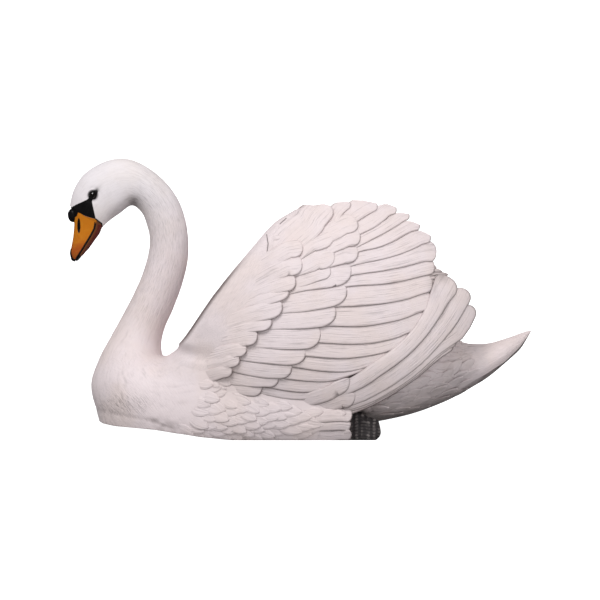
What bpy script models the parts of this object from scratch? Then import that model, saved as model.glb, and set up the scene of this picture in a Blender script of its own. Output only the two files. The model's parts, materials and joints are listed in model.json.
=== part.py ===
"""Mute swan statue, life size, lying on its flat belly with the wings raised.

X runs from the bill towards the tail, Y across the bird and Z up. The floor is at Z = 0.
Shapes are drawn in the side view in millimetres, as (x, z), and given a width across Y.
The left half of the bird is at minus Y.
"""

import math

import bmesh
import bpy
import numpy as np
from mathutils import Vector

MM = 0.001
GAP = 0.3
WELD = 0.00001

# Rings of the skin, from the bill to the tail: crown or back point, throat or belly point,
# half width, squareness of the section, and fullness of its lower half.
HEAD_RINGS = (
    ((-448, 458), (-386, 414), 21, 2.1, 0.05),
    ((-438, 489), (-378, 423), 29, 2.1, 0.05),
    ((-419, 514), (-366, 434), 34, 2.1, 0.05),
    ((-394, 534), (-352, 444), 37, 2.1, 0.05),
    ((-363, 546), (-339, 452), 38, 2.1, 0.0),
    ((-331, 548), (-330, 456), 37, 2.0, 0.0),
    ((-298, 535), (-321, 452), 36, 2.0, 0.0),
    ((-262, 505), (-310, 443), 35, 2.0, 0.0),
)
NECK_RINGS = (
    ((-232, 462), (-298, 425), 35, 2.0, 0.0),
    ((-219, 410), (-291, 398), 36, 2.0, 0.0),
    ((-218, 356), (-292, 368), 37, 2.0, 0.0),
    ((-229, 305), (-304, 326), 39, 2.0, 0.0),
    ((-247, 256), (-323, 289), 42, 2.0, 0.0),
    ((-262, 222), (-343, 250), 47, 2.0, 0.0),
    ((-270, 192), (-369, 203), 57, 2.0, 0.0),
    ((-268, 168), (-393, 157), 76, 2.0, 0.0),
)
BODY_RINGS = (
    ((-262, 163), (-407, 108), 103, 2.0, 0.0),
    ((-254, 161), (-402, 54), 122, 2.1, 0.0),
    ((-246, 160), (-384, -2), 136, 2.2, 0.0),
    ((-236, 162), (-318, -34), 148, 2.4, 0.02),
    ((-208, 176), (-222, -40), 159, 2.6, 0.05),
    ((-140, 205), (-140, -42), 167, 2.6, 0.08),
    ((-60, 230), (-60, -42), 171, 2.6, 0.1),
    ((40, 238), (40, -42), 170, 2.6, 0.1),
    ((92, 235), (92, -38), 163, 2.5, 0.1),
    ((108, 233), (108, 26), 156, 2.4, 0.08),
    ((160, 226), (160, 36), 138, 2.2, 0.05),
    ((220, 214), (220, 50), 114, 2.0, 0.0),
    ((280, 201), (280, 72), 88, 2.0, 0.0),
    ((325, 191), (325, 94), 64, 2.0, 0.0),
)
SKIN_RINGS = HEAD_RINGS + NECK_RINGS + BODY_RINGS

# Ring numbers where the skin is parted into its nodes.
NAPE_RING, THROAT_RING, MID_RING, BREAST_RING = 6, 9, 12, 15
TAIL_RING = len(SKIN_RINGS) - 1

# Lofted rings to each row of the table, and points to each ring.
HEAD_DETAIL, THROAT_DETAIL, NECK_DETAIL, BODY_DETAIL = (2, 28), (3, 28), (2, 28), (2, 32)

# Underside of the casting: flat, and rising a little under the breast.
KEEL = ((-440, 58), (-399, 42), (-384, 33), (-362, 28), (-284, 21), (-194, 6), (-130, 0), (500, 0))
KEEL_DEPTH = 60

# Whole bill: ridge point, lower edge point, half width. The mouth line parts it in two.
BILL_RINGS = (
    ((-448, 458), (-386, 414), 20.5),
    ((-440, 427), (-391, 402), 18),
    ((-441, 402), (-401, 388), 17),
    ((-444, 380), (-411, 374), 16.5),
    ((-447, 365), (-422, 362), 14),
    ((-446, 355), (-431, 354), 8),
)
BILL_TIP = (-439, 349)
BILL_SQUARE, BILL_FULL, BILL_COUNT, NAIL_SHARE = 2.3, 0.1, 20, 0.4
MOUTH_LINE = ((-380, 422), (-390, 417), (-398, 410), (-406, 399), (-416, 384), (-426, 369),
              (-436, 352), (-440, 340))
MOUTH_LOW, MOUTH_FAR, MOUTH_HALF = 340, 120, 40
NOSTRIL_TOP, NOSTRIL_LOW, NOSTRIL_HALF, NOSTRIL_DEEP, NOSTRIL_OUT = (-431, 432), (-432, 404), 2.5, 5, 18

KNOB_CENTRE, KNOB_RADII = (-442.5, 440), (10, 10, 13)
EYE_CENTRE, EYE_RADIUS = (-404, 478), 8.0
EYE_SINK, EYE_OPEN_WIDE, EYE_OPEN_HIGH = 4.4, 7.2, 6.2
LID_RADIUS = 10.2

# Outer face of the raised wings: an ellipsoid about the middle of the back.
SHELL_CENTRE, SHELL_RADII = (0, 220), (362, 200, 310)

# Guide curves of a wing in the side view, from its lower border up to the wrist.
ARM_EDGE = ((-252, 152), (-247, 172), (-216, 213), (-166, 286), (-99, 368), (-51, 422), (4, 448))
PANEL_EDGE = ((110, 64), (200, 118), (256, 185), (262, 250), (240, 318), (205, 372), (140, 425), (72, 452))
ARM_RADIUS = ((0.0, 42), (0.2, 33), (0.5, 26), (1.0, 15))
PANEL_THICK, PANEL_SINK, PANEL_THINNING = 13, 5, 0.6
PANEL_RIBS, PANEL_SHARES = 13, (0.0, 0.02, 0.06, 0.13, 0.25, 0.45, 0.7, 1.0)
LOW_EDGE, LOW_PULL = 150, 0.12

# Every feather starts flush with the wing's face at its root and rises towards its tip.
ROOT_HEIGHT, ROOT_THICK, SHAFT_RISE = -5.5, 6.5, 1.0
ROOT_WIDTH, WIDEST, TIP_WIDTH = 0.75, 0.4, 0.35

# Feather tiers: guide points of the tips, the middles and the roots, then the width, the
# thickness and height over the shell at the tip, the lift of the lower edge, the share of the
# length where the tip starts to round off, and the lofted stations.
SECONDARIES = dict(
    tips=((60, 456), (95, 458), (149, 454), (188, 448), (213, 438), (234, 418), (254, 399), (265, 368),
          (261, 341), (257, 314), (254, 279), (236, 249), (200, 196), (174, 168), (118, 139)),
    mids=((35, 440), (62, 441), (109, 438), (144, 426), (150, 402), (150, 380), (150, 359), (148, 337),
          (146, 315), (146, 283), (146, 244), (144, 207), (138, 178), (120, 154), (80, 126)),
    roots=((0, 425), (10, 419), (29, 405), (35, 386), (35, 366), (35, 351), (35, 335), (31, 318),
           (23, 296), (10, 261), (-4, 222), (-20, 185), (-20, 160), (-20, 135), (-20, 109)),
    width=40, thick=6, height=0, lift=3.5, rounding=0.74, stations=(0, 0.45, 0.8, 0.95, 1))
PRIMARIES = dict(
    tips=((280, 327), (291, 311), (318, 297), (334, 265), (324, 231)),
    mids=((196, 196), (203, 180), (222, 170), (226, 150), (216, 136)),
    roots=((60, 105), (60, 95), (68, 80), (62, 68), (54, 60)),
    width=54, thick=6, height=-3, lift=3.5, rounding=0.85, stations=(0, 0.28, 0.56, 0.84, 0.95, 1))
GREATER_COVERTS = dict(
    tips=((111, 417), (116, 393), (112, 364), (101, 330), (91, 294), (71, 250), (41, 207), (11, 169),
          (-17, 140), (-42, 120), (-74, 101), (-98, 87)),
    mids=((75, 402), (80, 375), (70, 349), (55, 314), (40, 280), (20, 241), (-12, 203), (-45, 165),
          (-70, 145), (-92, 128), (-120, 113), (-140, 100)),
    roots=((20, 385), (20, 350), (10, 320), (-10, 292), (-30, 262), (-55, 230), (-85, 200), (-115, 170),
           (-135, 152), (-150, 137), (-170, 124), (-185, 112)),
    width=40, thick=12, height=4, lift=2.5, rounding=0.7, stations=(0, 0.84, 1))
MEDIAN_COVERTS = dict(
    tips=((75, 435), (64, 398), (67, 365), (61, 334), (3, 351), (-13, 311), (-36, 268), (-57, 232),
          (-83, 206), (-106, 176), (-132, 150), (-160, 130)),
    mids=((40, 418), (35, 380), (35, 348), (25, 320), (-28, 330), (-42, 294), (-66, 256), (-88, 222),
          (-112, 194), (-132, 168), (-156, 146), (-180, 130)),
    roots=((0, 392), (-5, 350), (-5, 322), (-15, 298), (-70, 306), (-80, 272), (-102, 240), (-124, 208),
           (-146, 180), (-164, 158), (-186, 140), (-205, 128)),
    width=38, thick=15, height=7, lift=2.5, rounding=0.7, stations=(0, 0.84, 1))

FLANK_PLUMES = dict(
    tips=((99, 121), (111, 84), (60, 76)),
    mids=((40, 108), (50, 76), (0, 74)),
    roots=((-30, 100), (-20, 80), (-70, 82)),
    width=42, thick=18, height=9, lift=2.5, rounding=0.7, stations=(0, 0.5, 0.84, 1))
ALULA = dict(
    tips=((10, 449), (22, 435), (-2, 424)),
    mids=((-20, 436), (-8, 421), (-28, 411)),
    roots=((-50, 416), (-42, 402), (-58, 396)),
    width=20, thick=12, height=5, lift=3, rounding=0.6, stations=(0, 0.84, 1))

# Tail: ridge, lower edge of the side feathers and underside along X, with its half width.
TAIL_RIDGE = ((325, 190), (365, 190), (405, 200), (452.5, 213))
TAIL_UNDER = ((325, 94), (354, 112), (374, 131), (408, 159), (434, 183), (452.5, 206))
TAIL_SIDE = ((325, 112), (362, 126), (390, 142), (420, 166), (452.5, 208))
TAIL_HALF = ((325, 62), (365, 58), (405, 46), (435, 26), (452.5, 8))
TAIL_SECTION = (0.12, 0.26, 0.45, 0.7, 1.0)
TAIL_BOTTOM = ((0.85, 0.3), (0.58, 0.62), (0.28, 0.9))
TAIL_GABLE, TAIL_BLEND, TAIL_STATIONS = 0.7, 0.3, 7
TAIL_FEATHERS = dict(
    tips=((446, 201), (436, 189), (422, 175), (403, 161), (383, 149)),
    mids=((394, 184), (386, 172), (378, 159), (367, 146), (356, 135)),
    roots=((330, 176), (330, 163), (330, 149), (330, 136), (330, 124)),
    width=24, thick=6, height=1, lift=2, rounding=0.7, stations=(0, 0.45, 0.84, 1))

FOOT_FRONT, FOOT_BACK, FOOT_TOP = 96, 157, 62
FOOT_MIDDLE, FOOT_HALF = 104, 17
FOOT_TOES, TOE_OVERLAP, SOLE_WIDTH, SOLE_DEPTH = 5, 0.56, 0.5, 0.86
FOOT_RING = BREAST_RING + 6

COLOURS = {
    "body": ((0.78, 0.71, 0.72, 1.0), 0.62),
    "bill": ((0.72, 0.25, 0.02, 1.0), 0.4),
    "black": ((0.012, 0.012, 0.014, 1.0), 0.35),
    "foot": ((0.055, 0.05, 0.053, 1.0), 0.6),
}


def clear_scene():
    for item in list(bpy.data.objects):
        bpy.data.objects.remove(item, do_unlink=True)


def collection(name):
    made = bpy.data.collections.new(name)
    bpy.context.scene.collection.children.link(made)
    return made


def material(name, key):
    colour, roughness = COLOURS[key]
    made = bpy.data.materials.new(name)
    made.use_nodes = True
    shader = made.node_tree.nodes["Principled BSDF"]
    shader.inputs["Base Color"].default_value = colour
    shader.inputs["Roughness"].default_value = roughness
    shader.inputs["Metallic"].default_value = 0.0
    made.diffuse_color = colour
    return made


def curve_at(points, t):
    """A smooth curve through the points, read at t from 0 to 1."""
    rows = np.array(points, float)
    place = min(max(t, 0.0), 1.0) * (len(rows) - 1)
    i = min(int(place), len(rows) - 2)
    f = place - i
    a, b = rows[max(i - 1, 0)], rows[i]
    c, d = rows[i + 1], rows[min(i + 2, len(rows) - 1)]
    return 0.5 * (2 * b + (c - a) * f + (2 * a - 5 * b + 4 * c - d) * f**2 + (3 * b - a - 3 * c + d) * f**3)


def level_at(points, x):
    """Straight lines between (x, value) points."""
    rows = np.array(points, float)
    return float(np.interp(x, rows[:, 0], rows[:, 1]))


def ring_numbers(row):
    (top, low, half, square, full) = row
    return (*top, *low, half, square, full)


def ring_points(numbers, count, grow=0.0):
    """One section of the skin as points in millimetres, starting on the back."""
    top, low = np.array(numbers[0:2]), np.array(numbers[2:4])
    half, square, full = numbers[4:7]
    centre, reach = (top + low) / 2, (top - low) / 2
    size = np.linalg.norm(reach)
    reach = reach * (size + grow) / size
    points = []
    for k in range(count):
        angle = 2 * math.pi * k / count
        c, s = math.cos(angle), math.sin(angle)
        along = math.copysign(abs(c) ** (2 / square), c)
        across = math.copysign(abs(s) ** (2 / square), s) * (1 - full * c)
        x, z = centre + reach * along
        points.append((x, -(half + grow) * across, z))
    return points


def skin_rings(first, last, per_ring, count, grow=0.0):
    table = [ring_numbers(row) for row in SKIN_RINGS]
    steps = (last - first) * per_ring
    rings = []
    for k in range(steps + 1):
        t = (first + k / per_ring) / (len(table) - 1)
        rings.append(np.array(ring_points(curve_at(table, t), count, grow)))
    return rings


def loft(rings, name):
    """A closed mesh object through rings of equal counts, with flat ends.

    Each quad is split the same way on the left and the right half, so that a mirrored
    neighbour fits both sides."""
    made = bmesh.new()
    rows = [[made.verts.new(Vector(p) * MM) for p in ring] for ring in rings]
    for a, b in zip(rows, rows[1:]):
        for k in range(len(a)):
            n = (k + 1) % len(a)
            if k < len(a) / 2:
                made.faces.new((a[k], a[n], b[n]))
                made.faces.new((a[k], b[n], b[k]))
            else:
                made.faces.new((a[k], a[n], b[k]))
                made.faces.new((a[n], b[n], b[k]))
    made.faces.new(rows[0][::-1])
    made.faces.new(rows[-1])
    return finish_mesh(made, name)


def finish_mesh(made, name):
    bmesh.ops.recalc_face_normals(made, faces=made.faces)
    bmesh.ops.triangulate(made, faces=[f for f in made.faces if len(f.verts) > 4])
    mesh = bpy.data.meshes.new(name)
    made.to_mesh(mesh)
    made.free()
    return bpy.data.objects.new(name, mesh)


def moved_end(rings, index, distance):
    """The rings with one end ring moved along the loft by a distance."""
    near = 1 if index == 0 else -2
    a, b, c = rings[index][0], rings[index][len(rings[index]) // 4], rings[index][len(rings[index]) // 2]
    normal = np.cross(b - a, c - a)
    normal /= np.linalg.norm(normal)
    inward = rings[near].mean(axis=0) - rings[index].mean(axis=0)
    if normal @ inward < 0:
        normal = -normal
    rings[index] = rings[index] + normal * distance
    return rings


def skin_node(name, first, last, per_ring, count, gap_at_start=True):
    rings = skin_rings(first, last, per_ring, count)
    if gap_at_start:
        rings = moved_end(rings, 0, GAP)
    return loft(rings, name)


def combine(target, others, operation, solver="EXACT"):
    """Applies one Boolean with all the other objects, then removes them."""
    group = bpy.data.collections.new("joined")
    bpy.context.scene.collection.children.link(group)
    for other in others:
        group.objects.link(other)
    linked = target.name in bpy.context.scene.collection.objects
    if not linked:
        bpy.context.scene.collection.objects.link(target)
    change = target.modifiers.new("join", "BOOLEAN")
    change.operation = operation
    change.operand_type = "COLLECTION"
    change.collection = group
    change.solver = solver
    shape = bpy.data.meshes.new_from_object(target.evaluated_get(bpy.context.evaluated_depsgraph_get()))
    target.modifiers.clear()
    old = target.data
    target.data = shape
    shape.name = target.name
    bpy.data.meshes.remove(old)
    if not linked:
        bpy.context.scene.collection.objects.unlink(target)
    for other in others:
        bpy.data.objects.remove(other, do_unlink=True)
    bpy.data.collections.remove(group)
    return target


def keep_largest(item):
    """Leaves only the largest closed surface of a mesh."""
    made = bmesh.new()
    made.from_mesh(item.data)
    bmesh.ops.remove_doubles(made, verts=made.verts, dist=WELD)
    bmesh.ops.dissolve_degenerate(made, edges=made.edges, dist=WELD)
    bmesh.ops.triangulate(made, faces=made.faces)
    left, groups = set(made.faces), []
    while left:
        start = left.pop()
        group, queue = [start], [start]
        while queue:
            for edge in queue.pop().edges:
                for face in edge.link_faces:
                    if face in left:
                        left.discard(face)
                        group.append(face)
                        queue.append(face)
        groups.append(group)
    groups.sort(key=len)
    scraps = [face for group in groups[:-1] for face in group]
    bmesh.ops.delete(made, geom=scraps, context="FACES")
    made.to_mesh(item.data)
    made.free()
    return item


def mirrored(item, name):
    made = bmesh.new()
    made.from_mesh(item.data)
    for vert in made.verts:
        vert.co.y = -vert.co.y
    bmesh.ops.reverse_faces(made, faces=made.faces)
    mesh = bpy.data.meshes.new(name)
    made.to_mesh(mesh)
    made.free()
    return bpy.data.objects.new(name, mesh)


def ellipsoid(name, centre, radii, y=0.0, columns=20, rows=12, grow=0.0):
    made = bmesh.new()
    bmesh.ops.create_uvsphere(made, u_segments=columns, v_segments=rows, radius=1.0)
    for vert in made.verts:
        vert.co = Vector((
            (centre[0] + vert.co.x * (radii[0] + grow)) * MM,
            (y + vert.co.y * (radii[1] + grow)) * MM,
            (centre[1] + vert.co.z * (radii[2] + grow)) * MM,
        ))
    return finish_mesh(made, name)


def prism(name, outline, y_low, y_high):
    """A side view outline pushed across Y."""
    rings = [[(x, y, z) for x, z in outline] for y in (y_low, y_high)]
    return loft(np.array(rings, float), name)


def shell_y(x, z):
    """Distance of the wings' outer face from the middle plane."""
    across = ((x - SHELL_CENTRE[0]) / SHELL_RADII[0]) ** 2 + ((z - SHELL_CENTRE[1]) / SHELL_RADII[2]) ** 2
    return SHELL_RADII[1] * math.sqrt(max(1 - across, 0.04)) - LOW_PULL * max(LOW_EDGE - z, 0.0)


def wing_panel(name):
    """The wing's core: a round arm along its front that thins to a panel behind."""
    rings = []
    for t in np.linspace(0, 1, PANEL_RIBS):
        front, back = curve_at(ARM_EDGE, t), curve_at(PANEL_EDGE, t)
        length = np.linalg.norm(back - front)
        radius = level_at(ARM_RADIUS, t)
        outer, inner = [], []
        for share in PANEL_SHARES:
            x, z = front + (back - front) * share
            depth = min(share * length / radius, 1.0)
            round_in = radius * math.sqrt(1 - (1 - depth) ** 2)
            past = max(share * length - radius, 0.0) / (length - radius)
            thick = 2 * round_in + (PANEL_THICK - 2 * radius) * past**PANEL_THINNING
            face = shell_y(x, z) - PANEL_SINK - (radius - round_in)
            outer.append((x, -face, z))
            inner.append((x, -face + max(thick, 1.0), z))
        rings.append(outer + inner[::-1])
    return loft(np.array(rings), name)


def tail_y(x, z):
    """Distance of the tail's sides from the middle plane."""
    ridge, side = level_at(TAIL_RIDGE, x), level_at(TAIL_SIDE, x)
    share = min(max((ridge - z) / (ridge - side), 0.0), 1.3)
    return level_at(TAIL_HALF, x) * share**TAIL_GABLE


def vane(name, tier, i, surface=shell_y):
    """One feather laid on a surface: rounded tip, raised shaft, lower edge lifted."""
    tip, mid, root = (np.array(tier[key][i], float) for key in ("tips", "mids", "roots"))
    bend = 2 * mid - (tip + root) / 2
    rings = []
    for s in tier["stations"]:
        point = (1 - s) ** 2 * root + 2 * s * (1 - s) * bend + s**2 * tip
        way = 2 * (1 - s) * (bend - root) + 2 * s * (tip - bend)
        way /= np.linalg.norm(way)
        side = np.array((way[1], -way[0]))
        half = tier["width"] / 2 * (ROOT_WIDTH + (1 - ROOT_WIDTH) * min(s / WIDEST, 1.0))
        past = max(s - tier["rounding"], 0.0) / (1 - tier["rounding"])
        half *= math.sqrt(1 - past**2 * (1 - TIP_WIDTH**2))
        height = ROOT_HEIGHT + (tier["height"] - ROOT_HEIGHT) * s
        thick = ROOT_THICK + (tier["thick"] - ROOT_THICK) * s
        top, low = [], []
        for share in (-1, 0, 1):
            x, z = point + side * half * share
            out = surface(x, z) + height + tier["lift"] * s * share + (SHAFT_RISE if share == 0 else 0.0)
            top.append((x, -out, z))
            if share:
                low.append((x, -out + thick, z))
        rings.append(top + low[::-1])
    return loft(np.array(rings), name)


def torso():
    """The body, with everything under the keel line cut away."""
    body = skin_node("torso", BREAST_RING, TAIL_RING, *BODY_DETAIL)
    first, last = KEEL[0], KEEL[-1]
    outline = [*KEEL, (last[0], -KEEL_DEPTH), (first[0], -KEEL_DEPTH)]
    under = prism("under", outline, -SHELL_RADII[1] - KEEL_DEPTH, SHELL_RADII[1] + KEEL_DEPTH)
    return keep_largest(combine(body, [under], "DIFFERENCE"))


def wing_left():
    tiers = (SECONDARIES, PRIMARIES, GREATER_COVERTS, MEDIAN_COVERTS, FLANK_PLUMES, ALULA)
    feathers = [vane("feather", tier, i) for tier in tiers for i in range(len(tier["tips"]))]
    wing = combine(wing_panel("wing_left"), feathers, "UNION", "MANIFOLD")
    body = loft(skin_rings(MID_RING + 1, TAIL_RING, *BODY_DETAIL, GAP), "body_space")
    wing = combine(wing, [body], "DIFFERENCE")
    return keep_largest(wing)


def tail():
    """A gabled tail: long feathers at the ridge, shorter ones down each side."""
    start, end = TAIL_RIDGE[0][0] + GAP, TAIL_RIDGE[-1][0]
    count = 2 * (len(TAIL_SECTION) + len(TAIL_BOTTOM) + 1)
    joint = np.array(ring_points(ring_numbers(SKIN_RINGS[TAIL_RING]), count))
    rings = []
    for t in np.linspace(0, 1, TAIL_STATIONS):
        x = start + (end - start) * t
        ridge, under = level_at(TAIL_RIDGE, x), level_at(TAIL_UNDER, x)
        side, half = level_at(TAIL_SIDE, x), level_at(TAIL_HALF, x)
        levels = [ridge + (side - ridge) * share for share in TAIL_SECTION]
        left = [(-tail_y(x, z), z) for z in levels]
        left += [(-half * share, side + (under - side) * drop) for share, drop in TAIL_BOTTOM]
        right = [(-y, z) for y, z in left[::-1]]
        gable = np.array([(x, y, z) for y, z in [(0, ridge), *left, (0, under), *right]])
        blend = min(t / TAIL_BLEND, 1.0)
        rounded = joint * (0, 1, 1) + (x, 0, 0)
        rings.append(rounded * (1 - blend) + gable * blend)
    core = loft(rings, "tail")
    feathers = [vane("feather", TAIL_FEATHERS, i, tail_y) for i in range(len(TAIL_FEATHERS["tips"]))]
    feathers += [mirrored(feather, "feather") for feather in feathers]
    return keep_largest(combine(core, feathers, "UNION", "MANIFOLD"))


def bill_loft(grow=0.0):
    table = [(*ridge, *low, half, BILL_SQUARE, BILL_FULL) for ridge, low, half in BILL_RINGS]
    rings = []
    for t in np.linspace(0, 1, 2 * len(table) - 1):
        rings.append(np.array(ring_points(curve_at(table, t), BILL_COUNT, grow)))
    tip = np.array((BILL_TIP[0], 0, BILL_TIP[1]), float)
    rings.append(tip + (rings[-1] - rings[-1].mean(axis=0)) * NAIL_SHARE)
    return rings


def bill():
    """The whole bill, parted along the mouth line, with a slot nostril on each side."""
    rings = moved_end(bill_loft(), 0, GAP)
    upper, lower = loft(rings, "bill_upper"), loft(rings, "bill_lower")
    gape, end = MOUTH_LINE[0], MOUTH_LINE[-1]
    behind = [(end[0] + MOUTH_FAR, MOUTH_LOW), (end[0] + MOUTH_FAR, gape[1])]
    below = prism("below", [*MOUTH_LINE, *behind], -MOUTH_HALF, MOUTH_HALF)
    shifted = [(x, z - GAP * 1.3) for x, z in MOUTH_LINE]
    ahead = [(gape[0] - MOUTH_FAR, MOUTH_LOW), (gape[0] - MOUTH_FAR, gape[1] + MOUTH_FAR),
             (gape[0], gape[1] + MOUTH_FAR)]
    above = prism("above", [*shifted, *ahead], -MOUTH_HALF, MOUTH_HALF)
    top, low = np.array(NOSTRIL_TOP), np.array(NOSTRIL_LOW)
    radii = (NOSTRIL_HALF, NOSTRIL_DEEP, np.linalg.norm(top - low) / 2)
    slots = [ellipsoid("slot", (top + low) / 2, radii, side * NOSTRIL_OUT, 8, 8) for side in (-1, 1)]
    return combine(upper, [below, *slots], "DIFFERENCE"), combine(lower, [above], "DIFFERENCE")


def knob():
    ball = ellipsoid("bill_knob", KNOB_CENTRE, KNOB_RADII, columns=16, rows=12)
    head = loft(skin_rings(0, 2, *HEAD_DETAIL, GAP), "head_space")
    beak = loft(bill_loft(2 * GAP), "beak_space")
    return keep_largest(combine(ball, [head, beak], "DIFFERENCE"))


def head_half_width(x, z):
    """Half width of the head's skin near the eye, from the nearest ring points."""
    best = None
    for ring in skin_rings(0, 4, 6, 48):
        for px, py, pz in ring:
            far = math.hypot(px - x, pz - z)
            if py < 0 and (best is None or far < best[0]):
                best = (far, -py)
    return best[1]


def head():
    """The head, with an eye socket and a raised lid on each side."""
    skull = skin_node("head", 0, NAPE_RING, *HEAD_DETAIL, gap_at_start=False)
    depth = head_half_width(*EYE_CENTRE)
    lids, sockets, eyes = [], [], []
    for side, label in ((-1, "left"), (1, "right")):
        y = side * (depth - EYE_SINK)
        lids.append(ellipsoid("lid", EYE_CENTRE, (LID_RADIUS,) * 3, y, 12, 6))
        sockets.append(ellipsoid("socket", EYE_CENTRE, (EYE_RADIUS,) * 3, y, 12, 8, GAP))
        eyes.append(ellipsoid(f"eye_{label}", EYE_CENTRE, (EYE_RADIUS,) * 3, y, 12, 8))
        open_radii = (EYE_OPEN_WIDE, LID_RADIUS, EYE_OPEN_HIGH)
        sockets.append(ellipsoid("opening", EYE_CENTRE, open_radii, side * (depth + EYE_RADIUS), 12, 6))
    skull = combine(skull, lids, "UNION")
    skull = combine(skull, sockets, "DIFFERENCE")
    return [keep_largest(skull), *eyes]


def foot_left():
    """A folded web: toes side by side, down to the floor."""
    width = (FOOT_BACK - FOOT_FRONT) / FOOT_TOES
    toes = []
    for k in range(FOOT_TOES):
        x = FOOT_FRONT + width * (k + 0.5)
        rings = []
        for share in (0.0, 0.12, 1.0):
            z = FOOT_TOP * share
            half = width * (TOE_OVERLAP if share else SOLE_WIDTH)
            deep = FOOT_HALF * (1.0 if share else SOLE_DEPTH)
            rings.append([
                (x + half * math.cos(a), -FOOT_MIDDLE - deep * math.sin(a), z)
                for a in (2 * math.pi * n / 8 for n in range(8))
            ])
        toes.append(loft(np.array(rings), "toe"))
    foot = combine(toes[0], toes[1:], "UNION")
    foot.name = "foot_left"
    body = loft(skin_rings(FOOT_RING, TAIL_RING, *BODY_DETAIL, GAP), "body_space")
    return keep_largest(combine(foot, [body], "DIFFERENCE"))


def add(group, item, key):
    group.objects.link(item)
    item.data.materials.clear()
    item.data.materials.append(material(item.name, key))
    item.data.shade_smooth()
    item.data.set_sharp_from_angle(angle=math.radians(35))


def build():
    clear_scene()
    group = collection("mute_swan_statue")
    for item in head():
        add(group, item, "black" if item.name.startswith("eye") else "body")
    add(group, skin_node("neck_upper", NAPE_RING, THROAT_RING, *THROAT_DETAIL), "body")
    add(group, skin_node("neck_middle", THROAT_RING, MID_RING, *NECK_DETAIL), "body")
    add(group, skin_node("neck_lower", MID_RING, BREAST_RING, *THROAT_DETAIL), "body")
    add(group, torso(), "body")
    add(group, tail(), "body")
    upper, lower = bill()
    add(group, upper, "bill")
    add(group, lower, "bill")
    add(group, knob(), "black")
    wing = wing_left()
    add(group, wing, "body")
    add(group, mirrored(wing, "wing_right"), "body")
    foot = foot_left()
    add(group, foot, "foot")
    add(group, mirrored(foot, "foot_right"), "foot")


build()
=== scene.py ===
"""A cast and hand painted garden statue of a mute swan, laid out as a Blender add-on.

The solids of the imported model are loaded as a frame. The pieces made here stand for them:
one carved skin from the head to the tail, the feathers of both wings, the small feathers of
the body, the bill, its knob, the eyes and the feet. Shapes are drawn in the side view in
millimetres, as (x, z), with X towards the tail and the left side of the bird at minus Y,
and are made in metres.
"""

import functools
import json
import math
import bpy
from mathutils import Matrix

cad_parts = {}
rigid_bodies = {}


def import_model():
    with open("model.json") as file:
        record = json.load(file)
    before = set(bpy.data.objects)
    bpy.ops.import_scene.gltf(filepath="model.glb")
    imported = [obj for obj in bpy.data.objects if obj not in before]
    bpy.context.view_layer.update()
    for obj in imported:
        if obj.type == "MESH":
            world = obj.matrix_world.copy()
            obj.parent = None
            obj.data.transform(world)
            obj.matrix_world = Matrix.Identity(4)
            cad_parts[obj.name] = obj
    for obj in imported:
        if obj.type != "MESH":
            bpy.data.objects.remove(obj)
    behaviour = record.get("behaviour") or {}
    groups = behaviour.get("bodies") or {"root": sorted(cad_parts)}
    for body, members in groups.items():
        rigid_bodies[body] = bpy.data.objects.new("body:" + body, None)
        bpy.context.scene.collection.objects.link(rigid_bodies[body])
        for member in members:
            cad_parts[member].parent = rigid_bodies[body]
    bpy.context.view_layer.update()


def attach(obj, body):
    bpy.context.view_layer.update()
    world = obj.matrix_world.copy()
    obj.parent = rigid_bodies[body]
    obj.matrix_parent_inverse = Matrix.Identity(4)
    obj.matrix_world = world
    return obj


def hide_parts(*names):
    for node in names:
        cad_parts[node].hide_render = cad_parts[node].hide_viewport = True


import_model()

from types import SimpleNamespace

import bmesh
import bpy
import numpy as np
from mathutils import Matrix, Vector
from mathutils.bvhtree import BVHTree
from mathutils.kdtree import KDTree

bl_info = {
    "name": "Mute swan statue",
    "version": (1, 0, 0),
    "blender": (4, 5, 0),
    "location": "3D View > Sidebar > Swan",
    "description": "Builds a cast resin swan with painted, layered feathers",
    "category": "Object",
}

MM = 0.001

# Rings of the skin, from the bill to the tail: crown or back point, throat or belly point,
# half width, squareness of the section, and fullness of its lower half.
HEAD_RINGS = (
    ((-449.5, 457), (-386, 414), 21, 2.1, 0.05), ((-441.5, 488.5), (-378, 422), 29, 2.1, 0.05),
    ((-423, 517), (-365, 432.5), 34, 2.1, 0.05), ((-396, 536.5), (-350, 442.8), 37, 2.1, 0.05),
    ((-364.5, 548), (-337.5, 452.8), 38, 2.1, 0.0), ((-333, 547.8), (-329, 456.8), 37, 2.0, 0.0),
    ((-298, 532.5), (-319.5, 453.8), 36, 2.0, 0.0), ((-261.5, 502.5), (-307.5, 441), 35, 2.0, 0.0),
)
NECK_RINGS = (
    ((-234, 462), (-300.5, 424), 35, 2.0, 0.0), ((-219.5, 410), (-294, 397), 36, 2.0, 0.0),
    ((-218, 356), (-295.3, 368), 37, 2.0, 0.0), ((-229, 305), (-307, 326), 39, 2.0, 0.0),
    ((-247, 256), (-323, 289), 42, 2.0, 0.0), ((-262, 222), (-343, 250), 47, 2.0, 0.0),
    ((-270, 192), (-369, 203), 57, 2.0, 0.0), ((-268, 168), (-393, 157), 76, 2.0, 0.0),
)
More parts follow.
